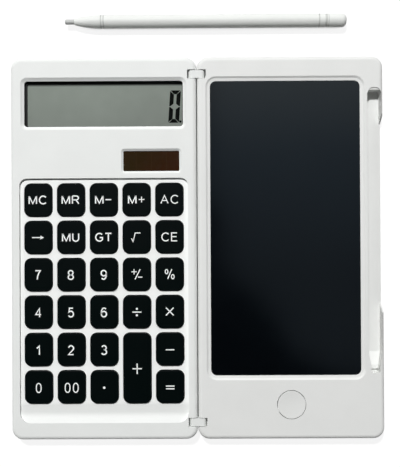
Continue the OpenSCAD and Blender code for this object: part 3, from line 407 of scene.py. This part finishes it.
# The stylus's grooves are greyed with painted shade and grime.
stylus_white = moulded_plastic(
    "stylus_white_plastic", srgb(236, 238, 235), srgb(232, 234, 231), 0.45, 0.25 * MM, 0.004 * MM,
    SATIN, groove_shade_and_grime)
tip_grey = moulded_plastic(
    "stylus_tip_plastic", srgb(192, 194, 192), srgb(182, 184, 182), 0.45, 0.15 * MM, 0.005 * MM)
key_black = moulded_plastic(
    "key_black_plastic", srgb(0, 6, 6), srgb(2, 8, 8), 0.45, 0.16 * MM, 0.006 * MM, KEY_GLOSS)
frame_black = moulded_plastic(
    "display_frame_plastic", srgb(9, 11, 11), srgb(13, 14, 14), 0.5, 0.2 * MM, 0.006 * MM, FRAME_GLOSS)
switch_black = moulded_plastic(
    "switch_plastic", srgb(24, 24, 26), srgb(30, 30, 31), 0.5, 0.2 * MM, 0.006 * MM)
backing_black = moulded_plastic(
    "backing_board", srgb(30, 31, 33), srgb(38, 38, 40), 0.7, 0.5 * MM, 0.02 * MM)
dome_rubber = moulded_plastic(
    "dome_rubber", srgb(176, 180, 178), srgb(160, 165, 163), 0.7, 0.4 * MM, 0.015 * MM)
connector_rubber = moulded_plastic(
    "connector_rubber", srgb(46, 46, 48), srgb(58, 58, 60), 0.75, 0.3 * MM, 0.015 * MM)
cell_steel = brushed_metal(
    "cell_steel", srgb(196, 197, 198), srgb(170, 171, 173), 0.25, (1, 12, 12))
contact_brass = brushed_metal(
    "contact_brass", srgb(214, 187, 118), srgb(186, 156, 92), 0.3, (1, 10, 10))
screw_steel = brushed_metal(
    "screw_steel", srgb(158, 158, 159), srgb(124, 124, 126), 0.5, (6, 6, 1))
pin_steel = brushed_metal(
    "pin_steel", srgb(190, 190, 192), srgb(160, 160, 162), 0.25, (10, 1, 10))

paint(keypad_white, "calculator_front_shell")
paint(tablet_white, "tablet_front_shell")
paint(back_white, "calculator_back_shell", "tablet_back_shell")
paint(back_white, "calculator_battery_door", "tablet_battery_door")
paint(link_white, "hinge_links")
paint(button_white, "erase_button")
paint(stylus_white, "stylus_nose", "stylus_barrel", "stylus_end_cap")
paint(tip_grey, "stylus_tip")
paint(key_black, *KEYS)
paint(frame_black, "display_frame")
paint(display_glass_material(), "display_glass")
paint(solar_material(SOLAR_PANES), "solar_cell")
paint(film_material(), "writing_film")
paint(backing_black, "film_backing")
paint(switch_black, "erase_switch")
paint(connector_rubber, "display_connector")
paint(board_material(), "main_board", "erase_board")
paint(cell_steel, "button_cell", "coin_cell")
paint(contact_brass, "calculator_contacts", "tablet_contacts")
paint(screw_steel, "calculator_screws", "tablet_screws")
paint(pin_steel, "calculator_hinge_pins", "tablet_hinge_pins")


# Pieces made here

SAME_POINT = 0.01 * MM
SHARPEST_MITRE = 0.62
ROUND_STEPS = 28
CORNER_STEPS = 6


def new_object(name, shape, material):
    """An object of that bmesh, which is used up."""
    mesh = bpy.data.meshes.new(name)
    shape.to_mesh(mesh)
    shape.free()
    mesh.materials.append(material)
    made = bpy.data.objects.new(name, mesh)
    scene.collection.objects.link(made)
    return made


def new_piece(name, shape, material, body):
    """A piece of that bmesh, in the part's own frame, that moves with the body."""
    bmesh.ops.recalc_face_normals(shape, faces=shape.faces)
    piece = new_object(name, shape, material)
    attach(piece, body)
    return piece


def add_prism(shape, outline, low, high):
    """Adds a closed prism of that outline, a list of (x, y), to the bmesh."""
    bottom = [shape.verts.new((x, y, low)) for x, y in outline]
    top = [shape.verts.new((x, y, high)) for x, y in outline]
    shape.faces.new(reversed(bottom))
    shape.faces.new(top)
    count = len(outline)
    for i in range(count):
        after = (i + 1) % count
        shape.faces.new((bottom[i], bottom[after], top[after], top[i]))


def corner_normal(before, point, after):
    """Which way a stroke's side lies at a corner, as long as the mitre there is."""
    steps = (point - before, after - point)
    ways = [step.normalized() for step in steps if step.length > 0]
    sides = [Vector((-way.y, way.x)) for way in ways]
    middle = sum(sides, Vector((0, 0))).normalized()
    return middle / max(middle.dot(sides[0]), SHARPEST_MITRE)


def add_ribbon(shape, points, width, low, high):
    """Adds a stroke of that width along the points. It is closed where the first is also the last."""
    path = [Vector(p) for p in points]
    closed = (path[0] - path[-1]).length < SAME_POINT
    if closed:
        path.pop()
    count = len(path)
    rings = []
    for i, point in enumerate(path):
        before = path[i - 1] if closed or i > 0 else point
        after = path[(i + 1) % count] if closed or i < count - 1 else point
        side = corner_normal(before, point, after) * width / 2
        corners = ((point + side, low), (point - side, low), (point - side, high), (point + side, high))
        rings.append([shape.verts.new((p.x, p.y, z)) for p, z in corners])
    for i in range(count if closed else count - 1):
        near, far = rings[i], rings[(i + 1) % count]
        for k in range(4):
            shape.faces.new((near[k], near[(k + 1) % 4], far[(k + 1) % 4], far[k]))
    if not closed:
        shape.faces.new(rings[0])
        shape.faces.new(rings[-1])


def arc(x, y, rx, ry, start, end, steps=12):
    """Points along part of an ellipse, from start to end in degrees."""
    turns = [math.radians(start + (end - start) * i / steps) for i in range(steps + 1)]
    return [(x + rx * math.cos(t), y + ry * math.sin(t)) for t in turns]


def loop(x, y, rx, ry):
    """Points all round an ellipse."""
    return arc(x, y, rx, ry, 0, 360, ROUND_STEPS)


def rounded_outline(low, high, radius):
    """Points round a rectangle with round corners."""
    corners = ((high.x, high.y, 0), (low.x, high.y, 90), (low.x, low.y, 180), (high.x, low.y, 270))
    middle_x = (low.x + high.x) / 2
    middle_y = (low.y + high.y) / 2
    points = []
    for x, y, turn in corners:
        inner_x = x - math.copysign(radius, x - middle_x)
        inner_y = y - math.copysign(radius, y - middle_y)
        points += arc(inner_x, inner_y, radius, radius, turn, turn + 90, CORNER_STEPS)
    return points


# Legends on the keys: letters and figures as strokes, along centre lines that are one unit high

GLYPHS = {
    "M": [[(0, 0), (0, 1)], [(0.02, 0.98), (0.475, 0.03), (0.93, 0.98)], [(0.95, 1), (0.95, 0)]],
    "C": [arc(0.48, 0.5, 0.48, 0.5, 42, 318, 20)],
    "R": [[(0, 0), (0, 1)], [(0, 1), *arc(0.5, 0.745, 0.27, 0.255, 90, -90), (0, 0.49)],
          [(0.45, 0.49), (0.82, 0)]],
    "A": [[(0, 0), (0.45, 1), (0.9, 0)], [(0.17, 0.36), (0.73, 0.36)]],
    "U": [[(0, 1), *arc(0.38, 0.36, 0.38, 0.36, 180, 360), (0.76, 1)]],
    "G": [[*arc(0.48, 0.5, 0.48, 0.5, 45, 322, 20), (0.86, 0.46), (0.52, 0.46)]],
    "T": [[(0, 1), (0.78, 1)], [(0.39, 1), (0.39, 0)]],
    "E": [[(0.68, 1), (0, 1), (0, 0), (0.7, 0)], [(0, 0.53), (0.62, 0.53)]],
    "0": [[*arc(0.26, 0.62, 0.26, 0.38, 0, 180), *arc(0.26, 0.38, 0.26, 0.38, 180, 360),
           (0.52, 0.62)]],
    "1": [[(0, 0.74), (0.17, 0.85), (0.29, 1), (0.29, 0)]],
    "2": [[*arc(0.29, 0.71, 0.28, 0.29, 165, -28), (0, 0), (0.58, 0)]],
    "3": [[*arc(0.27, 0.755, 0.25, 0.245, 155, -75), *arc(0.27, 0.265, 0.29, 0.265, 80, -155)]],
    "4": [[(0.53, 0), (0.53, 1), (0.08, 0.29), (0.7, 0.29)]],
    "5": [[(0.52, 1), (0.12, 1), *arc(0.27, 0.33, 0.3, 0.33, 142, -152)]],
    "6": [[*arc(0.31, 0.5, 0.31, 0.5, 48, 180), (0, 0.31)], loop(0.29, 0.31, 0.29, 0.31)],
    "7": [[(0, 1), (0.58, 1), (0.39, 0.7), (0.27, 0.38), (0.22, 0)]],
    "8": [loop(0.29, 0.75, 0.26, 0.25), loop(0.29, 0.25, 0.29, 0.25)],
    "9": [[*arc(0.27, 0.5, 0.31, 0.5, 228, 360), (0.58, 0.69)], loop(0.29, 0.69, 0.29, 0.31)],
}
GLYPH_GAP = 0.38

# How far the ink stands on the keys' faces and reaches into them
INK_PROUD = 0.03 * MM
INK_SUNK = 0.02 * MM

# Heights of the print, and weights, which are the widths of its strokes, all in mm
LETTER_HEIGHT = 4.05
LETTER_WEIGHT = 0.57
THIN_WEIGHT = 0.47
DIGIT_HEIGHT = 4.55
DIGIT_WEIGHT = 0.6
SIGN_WEIGHT = 0.5
FINE_WEIGHT = 0.43

# In place of a weight, this says that the path is an outline to be filled.
FILLED = 0

# How far right of the key's middle the M of M+ and M- and the zeros are printed, in mm
MEMORY_SHIFT = -1.85
ZERO_SHIFT = 0.2

WORDS = {"key_mc": "MC", "key_mr": "MR", "key_mu": "MU", "key_gt": "GT"}
THIN_WORDS = {"key_ac": "AC", "key_ce": "CE"}
DIGITS = {
    "key_7": "7", "key_8": "8", "key_9": "9", "key_4": "4", "key_5": "5", "key_6": "6",
    "key_1": "1", "key_2": "2", "key_3": "3",
}
ZEROS = {"key_0": "0", "key_00": "00"}


def written(text, height, weight):
    """Strokes of a text of that height, centred: pairs of a path in mm and its weight."""
    rise = height - weight
    start = 0
    paths = []
    for glyph in text:
        paths += [[((start + x) * rise, (y - 0.5) * rise) for x, y in path] for path in GLYPHS[glyph]]
        start += GLYPH_GAP + max(x for path in GLYPHS[glyph] for x, y in path)
    middle = (start - GLYPH_GAP) * rise / 2
    return [([(x - middle, y) for x, y in path], weight) for path in paths]


def cross(x, y, reach, weight):
    """Strokes of a plus sign."""
    return [([(x - reach, y), (x + reach, y)], weight), ([(x, y - reach), (x, y + reach)], weight)]


def bar(x, y, reach, weight):
    """Stroke of a minus sign."""
    return [([(x - reach, y), (x + reach, y)], weight)]


def moved(strokes, right):
    """Strokes, shifted to the right by so many mm."""
    return [([(x + right, y) for x, y in path], weight) for path, weight in strokes]


def memory(sign):
    """M with a plus or minus after it."""
    return moved(written("M", LETTER_HEIGHT, LETTER_WEIGHT), MEMORY_SHIFT) + sign


def dot(x, y, radius):
    """Outline of a round dot, to be filled."""
    return [(loop(x, y, radius, radius)[:-1], FILLED)]


# Signs, drawn in mm from the key's middle
ARROW_HEAD = [(1.2, 0.85), (2.85, 0.0), (1.2, -0.85)]
SIGNS = {
    "key_m_minus": memory(bar(2.25, 0, 1.3, SIGN_WEIGHT)),
    "key_m_plus": memory(cross(2.35, 0, 1.3, FINE_WEIGHT)),
    "key_back": [([(-2.55, 0.0), (1.5, 0.0)], FINE_WEIGHT), (ARROW_HEAD, FILLED)],
    "key_root": [([(-2.25, -0.6), (-1.55, -2.1), (-0.6, 1.85), (1.75, 1.85)], FINE_WEIGHT)],
    "key_sign": [*cross(-1.2, 1.3, 1.2, FINE_WEIGHT), ([(-0.75, -2.1), (1.55, 2.45)], FINE_WEIGHT),
                 *bar(1.55, -1.1, 1.0, FINE_WEIGHT)],
    "key_percent": [(loop(-1.4, 1.3, 0.6, 0.95), FINE_WEIGHT),
                    (loop(1.4, -1.0, 0.6, 0.95), FINE_WEIGHT),
                    ([(-0.9, -1.95), (0.95, 2.4)], FINE_WEIGHT)],
    "key_divide": [*bar(0, 0.1, 2.05, SIGN_WEIGHT), *dot(0, 1.55, 0.5), *dot(0, -1.35, 0.5)],
    "key_times": [([(-1.75, -1.45), (1.7, 2.0)], SIGN_WEIGHT),
                  ([(-1.75, 2.0), (1.7, -1.45)], SIGN_WEIGHT)],
    "key_plus": [*bar(0, 0, 2.1, SIGN_WEIGHT), ([(0, -2.35), (0, 2.35)], SIGN_WEIGHT)],
    "key_minus": bar(0, 0, 1.92, SIGN_WEIGHT),
    "key_point": dot(0, 0, 0.56),
    "key_equals": [*bar(0, 0.62, 1.92, SIGN_WEIGHT), *bar(0, -0.62, 1.92, SIGN_WEIGHT)],
}

# The print is a little larger than the keys' grid, so it drifts away from the upper right key.
PRINT_SCALE = 1.003

legend_white = ink_material("legend_white_ink", srgb(252, 254, 253), srgb(246, 248, 247))


def key_middle(key):
    """The middle of a key's top face."""
    low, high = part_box(key)
    return Vector(((low.x + high.x) / 2, (low.y + high.y) / 2, high.z))


print_start = key_middle("key_ac")


def add_legend(key, strokes):
    """Prints a legend on the key's top face."""
    place = print_start + (key_middle(key) - print_start) * PRINT_SCALE
    low = place.z - INK_SUNK
    high = place.z + INK_PROUD
    shape = bmesh.new()
    for path, weight in strokes:
        points = [(place.x + x * MM, place.y + y * MM) for x, y in path]
        if weight == FILLED:
            add_prism(shape, points, low, high)
        else:
            add_ribbon(shape, points, weight * MM, low, high)
    new_piece(key.replace("key", "legend"), shape, legend_white, key)


for key, text in WORDS.items():
    add_legend(key, written(text, LETTER_HEIGHT, LETTER_WEIGHT))
for key, text in THIN_WORDS.items():
    add_legend(key, written(text, LETTER_HEIGHT, THIN_WEIGHT))
for key, text in DIGITS.items():
    add_legend(key, written(text, DIGIT_HEIGHT, DIGIT_WEIGHT))
for key, text in ZEROS.items():
    add_legend(key, moved(written(text, DIGIT_HEIGHT, THIN_WEIGHT), ZERO_SHIFT))
for key, strokes in SIGNS.items():
    add_legend(key, strokes)


# Display: the segments of one figure and its point, and the clear cover

FIGURE_WIDTH = 4.9 * MM
FIGURE_HEIGHT = 14.7 * MM
FIGURE_SLANT = 0.065
FIGURE_RIGHT = 2.3 * MM
FIGURE_FOOT = 3.6 * MM
POINT_RADIUS = 0.54 * MM
POINT_SHIFT = 0.62 * MM

# Widths of the upright and the level segments, their taper at the waist, and the gaps between them
UPRIGHT = 2.0 * MM
LEVEL = 1.75 * MM
WAIST_TIP = 0.55 * MM
WAIST_SHARE = 0.75
SEGMENT_GAP = 0.14 * MM
SEGMENT_LIFT = 0.01 * MM
SEGMENT_DEPTH = 0.03 * MM

COVER_CORNER = 1.15 * MM
COVER_BEVEL = 0.08 * MM

glass_low, glass_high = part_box("display_glass")
lcd_ink = ink_material("liquid_crystal_ink", srgb(3, 6, 4), srgb(5, 8, 6))


def segment_outlines(width, height):
    """The six lit segments of a zero, before slanting, from its lower left corner."""
    half = height / 2
    gap = SEGMENT_GAP
    neck = width / 2 - UPRIGHT + gap
    outlines = [
        [(2 * gap, height), (width - 2 * gap, height),
         (width / 2 + neck, height - LEVEL), (width / 2 - neck, height - LEVEL)],
        [(2 * gap, 0), (width / 2 - neck, LEVEL), (width / 2 + neck, LEVEL), (width - 2 * gap, 0)],
    ]
    for up in (1, -1):
        end = half + up * (half - 2 * gap)
        inner = half + up * (half - LEVEL - gap)
        middle = half + up * 1.5 * gap
        waist = half + up * LEVEL * WAIST_SHARE
        left = [(0, end), (UPRIGHT - gap, inner), (UPRIGHT - gap, waist),
                (WAIST_TIP, middle), (0, middle)]
        outlines.append(left)
        outlines.append([(width - x, y) for x, y in left])
    return outlines


def add_figure():
    """A slanted zero with its point at the right end of the display."""
    base_x = glass_high.x - FIGURE_RIGHT - FIGURE_WIDTH
    base_y = glass_low.y + FIGURE_FOOT
    low = glass_high.z + SEGMENT_LIFT
    shape = bmesh.new()
    for outline in segment_outlines(FIGURE_WIDTH, FIGURE_HEIGHT):
        slanted = [(base_x + x + y * FIGURE_SLANT, base_y + y) for x, y in outline]
        add_prism(shape, slanted, low, low + SEGMENT_DEPTH)
    point_x = base_x + FIGURE_WIDTH + POINT_SHIFT
    point = loop(point_x, base_y + POINT_RADIUS, POINT_RADIUS, POINT_RADIUS)
    add_prism(shape, point[:-1], low, low + SEGMENT_DEPTH)
    new_piece("display_figure", shape, lcd_ink, "calculator")


def add_cover():
    """The display's clear cover, just clear of the glass, with a small bevel round its edges."""
    low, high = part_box("display_cover")
    lift = 2 * SEGMENT_LIFT + SEGMENT_DEPTH
    shape = bmesh.new()
    add_prism(shape, rounded_outline(low, high, COVER_CORNER), low.z + lift, high.z)
    rims = [edge for edge in shape.edges
            if abs(edge.verts[0].co.z - edge.verts[1].co.z) < SAME_POINT]
    bmesh.ops.bevel(shape, geom=rims, offset=COVER_BEVEL, segments=2, affect="EDGES")
    cover = new_piece("clear_display_cover", shape, clear_cover_material(), "calculator")
    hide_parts("display_cover")


add_figure()
add_cover()


# Rubber under the keys: a sheet, and a hollow dome for each key

# Main sizes as in the CAD model. The slack keeps the domes clear of the keys at rest.
SHEET_DEPTH = 0.5 * MM
SHEET_CORNER = 0.8 * MM
DOME_FOOT = 3.2 * MM
DOME_NECK = 2.95 * MM
DOME_TOP = 2.3 * MM
DOME_ROUND = 0.2 * MM
DOME_WALL = 0.5 * MM
DOME_SLACK = 0.02 * MM
DOME_SIDES = 24
PILL_RADIUS = 1.3 * MM
KEY_TRAVEL = 0.9 * MM

rubber_low, rubber_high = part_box("dome_sheet")
dome_foot_z = rubber_low.z
dome_rim_z = dome_foot_z + SHEET_DEPTH
dome_top_z = rubber_high.z - DOME_SLACK
dome_ceiling_z = dome_top_z - DOME_WALL
pill_z = dome_foot_z + KEY_TRAVEL

# Half the section of a dome, as (radius, z): its outside from the top down, its inside and the pill
DOME_PROFILE = (
    (0, dome_top_z), (DOME_TOP - DOME_ROUND, dome_top_z), (DOME_TOP, dome_top_z - DOME_ROUND),
    (DOME_NECK, dome_rim_z), (DOME_FOOT, dome_rim_z), (DOME_FOOT, dome_foot_z),
    (DOME_NECK - DOME_WALL, dome_foot_z), (DOME_TOP - DOME_WALL, dome_ceiling_z),
    (PILL_RADIUS, dome_ceiling_z), (PILL_RADIUS, pill_z), (0, pill_z),
)


def add_turned(shape, x, y, profile, sides):
    """Adds a closed solid of revolution, whose profile's points run from the axis back to it."""
    rings = []
    for radius, z in profile:
        if radius == 0:
            rings.append([shape.verts.new((x, y, z))] * sides)
        else:
            circle = arc(x, y, radius, radius, 0, 360, sides)[:-1]
            rings.append([shape.verts.new((px, py, z)) for px, py in circle])
    for upper, lower in zip(rings, rings[1:]):
        for i in range(sides):
            after = (i + 1) % sides
            corners = dict.fromkeys((upper[i], upper[after], lower[after], lower[i]))
            shape.faces.new(list(corners))


def rubber_piece(name, shape):
    """A piece of rubber that stands for the sheet under the keys."""
    piece = new_piece(name, shape, dome_rubber, "calculator")
    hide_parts("dome_sheet")
    return piece


def put_in_order(elements, place):
    """Sorts a bmesh's elements by place, because some operators leave them in no fixed order."""
    for rank, element in enumerate(sorted(elements, key=place)):
        element.index = rank
    elements.sort()


def add_rubber_sheet():
    """The sheet between the domes, with a round hole for each of them."""
    outlines = [rounded_outline(rubber_low, rubber_high, SHEET_CORNER)]
    for key in KEYS:
        middle = key_middle(key)
        outlines.append(arc(middle.x, middle.y, DOME_FOOT, DOME_FOOT, 0, 360, DOME_SIDES)[:-1])
    shape = bmesh.new()
    for outline in outlines:
        ring = [shape.verts.new((x, y, dome_foot_z)) for x, y in outline]
        for i, vert in enumerate(ring):
            shape.edges.new((ring[i - 1], vert))
    bmesh.ops.triangle_fill(shape, edges=shape.edges[:], use_beauty=True)
    grown = bmesh.ops.extrude_face_region(shape, geom=shape.faces[:])["geom"]
    upper = [part for part in grown if isinstance(part, bmesh.types.BMVert)]
    bmesh.ops.translate(shape, verts=upper, vec=(0, 0, SHEET_DEPTH))
    put_in_order(shape.verts, lambda vert: vert.co[:])
    put_in_order(shape.faces, lambda face: face.calc_center_median()[:])
    rubber_piece("rubber_sheet", shape)


def add_dome(key):
    """A hollow dome with a contact pill under its top."""
    middle = key_middle(key)
    shape = bmesh.new()
    add_turned(shape, middle.x, middle.y, DOME_PROFILE, DOME_SIDES)
    dome = rubber_piece(key.replace("key", "dome"), shape)
    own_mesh(dome)


add_rubber_sheet()
for key in KEYS:
    add_dome(key)


# Floor, light and camera

WHITE = (1.0, 1.0, 1.0, 1.0)
BLACK = (0.0, 0.0, 0.0, 1.0)

# The floor: its colour, its glow where it lies open, which fades into painted shade under the part and
# in its gaps, and how far round a point counts as open
FLOOR_SIZE = 3.0
FLOOR_DROP = 0.1 * MM
FLOOR_GREY = (0.2, 0.2, 0.2, 1.0)
FLOOR_GLOW = 0.88
FLOOR_REACH = 30 * MM
HIDDEN_FLOOR = 0.45

# The card that the writing film reflects: its outline and, along Y, its colours, in metres
CARD_HEIGHT = 0.6
CARD_OUTLINE = (
    (0.005, 0.25), (0.005, 0.06), (0.026, 0.02), (0.03, -0.05), (0.078, -0.084), (0.101, -0.12),
    (0.117, -0.155), (0.165, -0.178), (0.25, -0.2), (0.25, 0.25),
)
CARD_FOOT, CARD_MIDDLE, CARD_HEAD = -0.05, 0.11, 0.2
FOOT_BLUE = (0.17, 0.21, 0.25, 1.0)
MIDDLE_BLUE = (0.3, 0.4, 0.5, 1.0)
HEAD_BLUE = (0.65, 0.77, 0.84, 1.0)

# The world, by the Y and Z of a direction: its colours, its light and a low fill at the keypad end
WALL_END, CEILING_START = 0.35, 0.75
CEILING = (0.01, 0.011, 0.012, 1.0)
KEYPAD_END, DISPLAY_END, FILL_END = -0.6, 0.5, 0.3
KEYPAD_LIGHT, DISPLAY_LIGHT = 0.05, 0.42
LOW_FILL = 1.5
FILL_FULL, FILL_TOP = 0.05, 0.12

LAMP_PLACE = Vector((-0.38, 1.25, 2.0))
LAMP_SIZE = 0.22
LAMP_POWER = 55.5

# The camera, set for an image of 400 x 467: its focal length in pixels, and its turns in degrees
IMAGE_HEIGHT = 467
FOCAL_PIXELS = 709.4
SENSOR_WIDTH = 36
CAMERA_PLACE = Vector((2.66, -5.22, 327.0)) * MM
CAMERA_TURNS = (("X", 0.254), ("Y", 0.25), ("Z", -0.292))


def stage_piece(name, corners, height, material):
    """A flat piece of the studio with those corners, (x, y) pairs."""
    shape = bmesh.new()
    shape.faces.new([shape.verts.new((x, y, 0)) for x, y in corners])
    piece = new_object(name, shape, material)
    piece.location.z = height
    return piece


def shown_rays(tree):
    """1 for what the camera sees, directly, in a reflection or through glass, and 0 for other light."""
    path = tree.nodes.new("ShaderNodeLightPath").outputs
    seen = math_node(tree, "MAXIMUM", path["Is Camera Ray"], path["Is Glossy Ray"])
    return math_node(tree, "MAXIMUM", seen, path["Is Transmission Ray"])


def floor_material():
    """Pale floor, white to the camera and in reflections where it lies open, with painted shade where
    its glow fades under the part and in its gaps. It keeps the shadow.
    """
    material, tree, shader = new_material("pale_floor")
    shader.inputs["Base Color"].default_value = FLOOR_GREY
    shader.inputs["Roughness"].default_value = 0.9
    shader.inputs["Specular IOR Level"].default_value = 0.0
    # Painted shade: the glow fades where the part hides the floor.
    openness = tree.nodes.new("ShaderNodeAmbientOcclusion")
    openness.inputs["Distance"].default_value = FLOOR_REACH
    glow_with_painted_shade = between(tree, openness.outputs["AO"], 0.0, FLOOR_GLOW, 0.0, HIDDEN_FLOOR)
    shader.inputs["Emission Color"].default_value = WHITE
    glow = math_node(tree, "MULTIPLY", shown_rays(tree), glow_with_painted_shade)
    tree.links.new(glow, shader.inputs["Emission Strength"])
    return material


def add_floor():
    """A square floor just under the part."""
    half = FLOOR_SIZE / 2
    corners = ((-half, -half), (half, -half), (half, half), (-half, half))
    stage_piece("floor", corners, cad_box[0][2] - FLOOR_DROP, floor_material())


def card_material():
    """Dim studio card, brighter and bluer towards the display end."""
    material, tree, shader = new_material("reflector_card")
    y = axes(tree, coordinates(tree))["Y"]
    lower = between(tree, y, 0.0, 1.0, CARD_FOOT, CARD_MIDDLE)
    upper = between(tree, y, 0.0, 1.0, CARD_MIDDLE, CARD_HEAD)
    near = blend_colours(tree, lower, FOOT_BLUE, MIDDLE_BLUE)
    colour = blend_colours(tree, upper, near, HEAD_BLUE)
    shader.inputs["Base Color"].default_value = BLACK
    shader.inputs["Specular IOR Level"].default_value = 0.0
    shader.inputs["Emission Strength"].default_value = 1.0
    tree.links.new(colour, shader.inputs["Emission Color"])
    return material


def add_card():
    """A card over the tablet that only reflections show. Its lower left side is cut away in a curve."""
    card = stage_piece("reflector_card", CARD_OUTLINE, CARD_HEIGHT, card_material())
    card.visible_camera = False
    card.visible_diffuse = False
    card.visible_shadow = False
    card.visible_transmission = False


def set_world():
    """White walls and a dark ceiling, whose light is dimmer at the keypad end but for a low fill."""
    world = bpy.data.worlds.new("studio")
    world.use_nodes = True
    tree = world.node_tree
    tree.nodes.clear()
    output = tree.nodes.new("ShaderNodeOutputWorld")
    background = tree.nodes.new("ShaderNodeBackground")
    way = axes(tree, tree.nodes.new("ShaderNodeTexCoord").outputs["Generated"])
    height = between(tree, way["Z"], 0.0, 1.0, WALL_END, CEILING_START)
    tree.links.new(blend_colours(tree, height, WHITE, CEILING), background.inputs["Color"])
    light = between(tree, way["Y"], KEYPAD_LIGHT, DISPLAY_LIGHT, KEYPAD_END, DISPLAY_END)
    low = between(tree, way["Z"], 1.0, 0.0, FILL_FULL, FILL_TOP)
    near = between(tree, way["Y"], LOW_FILL, 0.0, KEYPAD_END, FILL_END)
    fill = math_node(tree, "MULTIPLY", low, near)
    shown = shown_rays(tree)
    hidden = math_node(tree, "SUBTRACT", 1.0, shown)
    cast = math_node(tree, "MULTIPLY", math_node(tree, "ADD", light, fill), hidden)
    tree.links.new(math_node(tree, "ADD", cast, shown), background.inputs["Strength"])
    tree.links.new(background.outputs["Background"], output.inputs["Surface"])
    scene.world = world


def add_lamp(name, place, size, power):
    """A round soft lamp at that place, turned to the part's middle."""
    lamp = bpy.data.lights.new(name, "AREA")
    lamp.shape = "DISK"
    lamp.size = size
    lamp.energy = power
    holder = bpy.data.objects.new(name, lamp)
    holder.location = place
    holder.rotation_euler = place.to_track_quat("Z", "Y").to_euler()
    scene.collection.objects.link(holder)


def add_camera():
    """Camera above the open part."""
    lens = bpy.data.cameras.new("camera")
    lens.sensor_width = SENSOR_WIDTH
    lens.lens = FOCAL_PIXELS / IMAGE_HEIGHT * SENSOR_WIDTH
    camera = bpy.data.objects.new("camera", lens)
    camera.location = CAMERA_PLACE
    turn = Matrix.Identity(3)
    for axis, degrees in CAMERA_TURNS:
        turn = turn @ Matrix.Rotation(math.radians(degrees), 3, axis)
    camera.rotation_euler = turn.to_euler()
    scene.collection.objects.link(camera)
    scene.camera = camera


add_floor()
add_card()
set_world()
add_lamp("main_light", LAMP_PLACE, LAMP_SIZE, LAMP_POWER)
add_camera()
scene.view_settings.view_transform = "Standard"
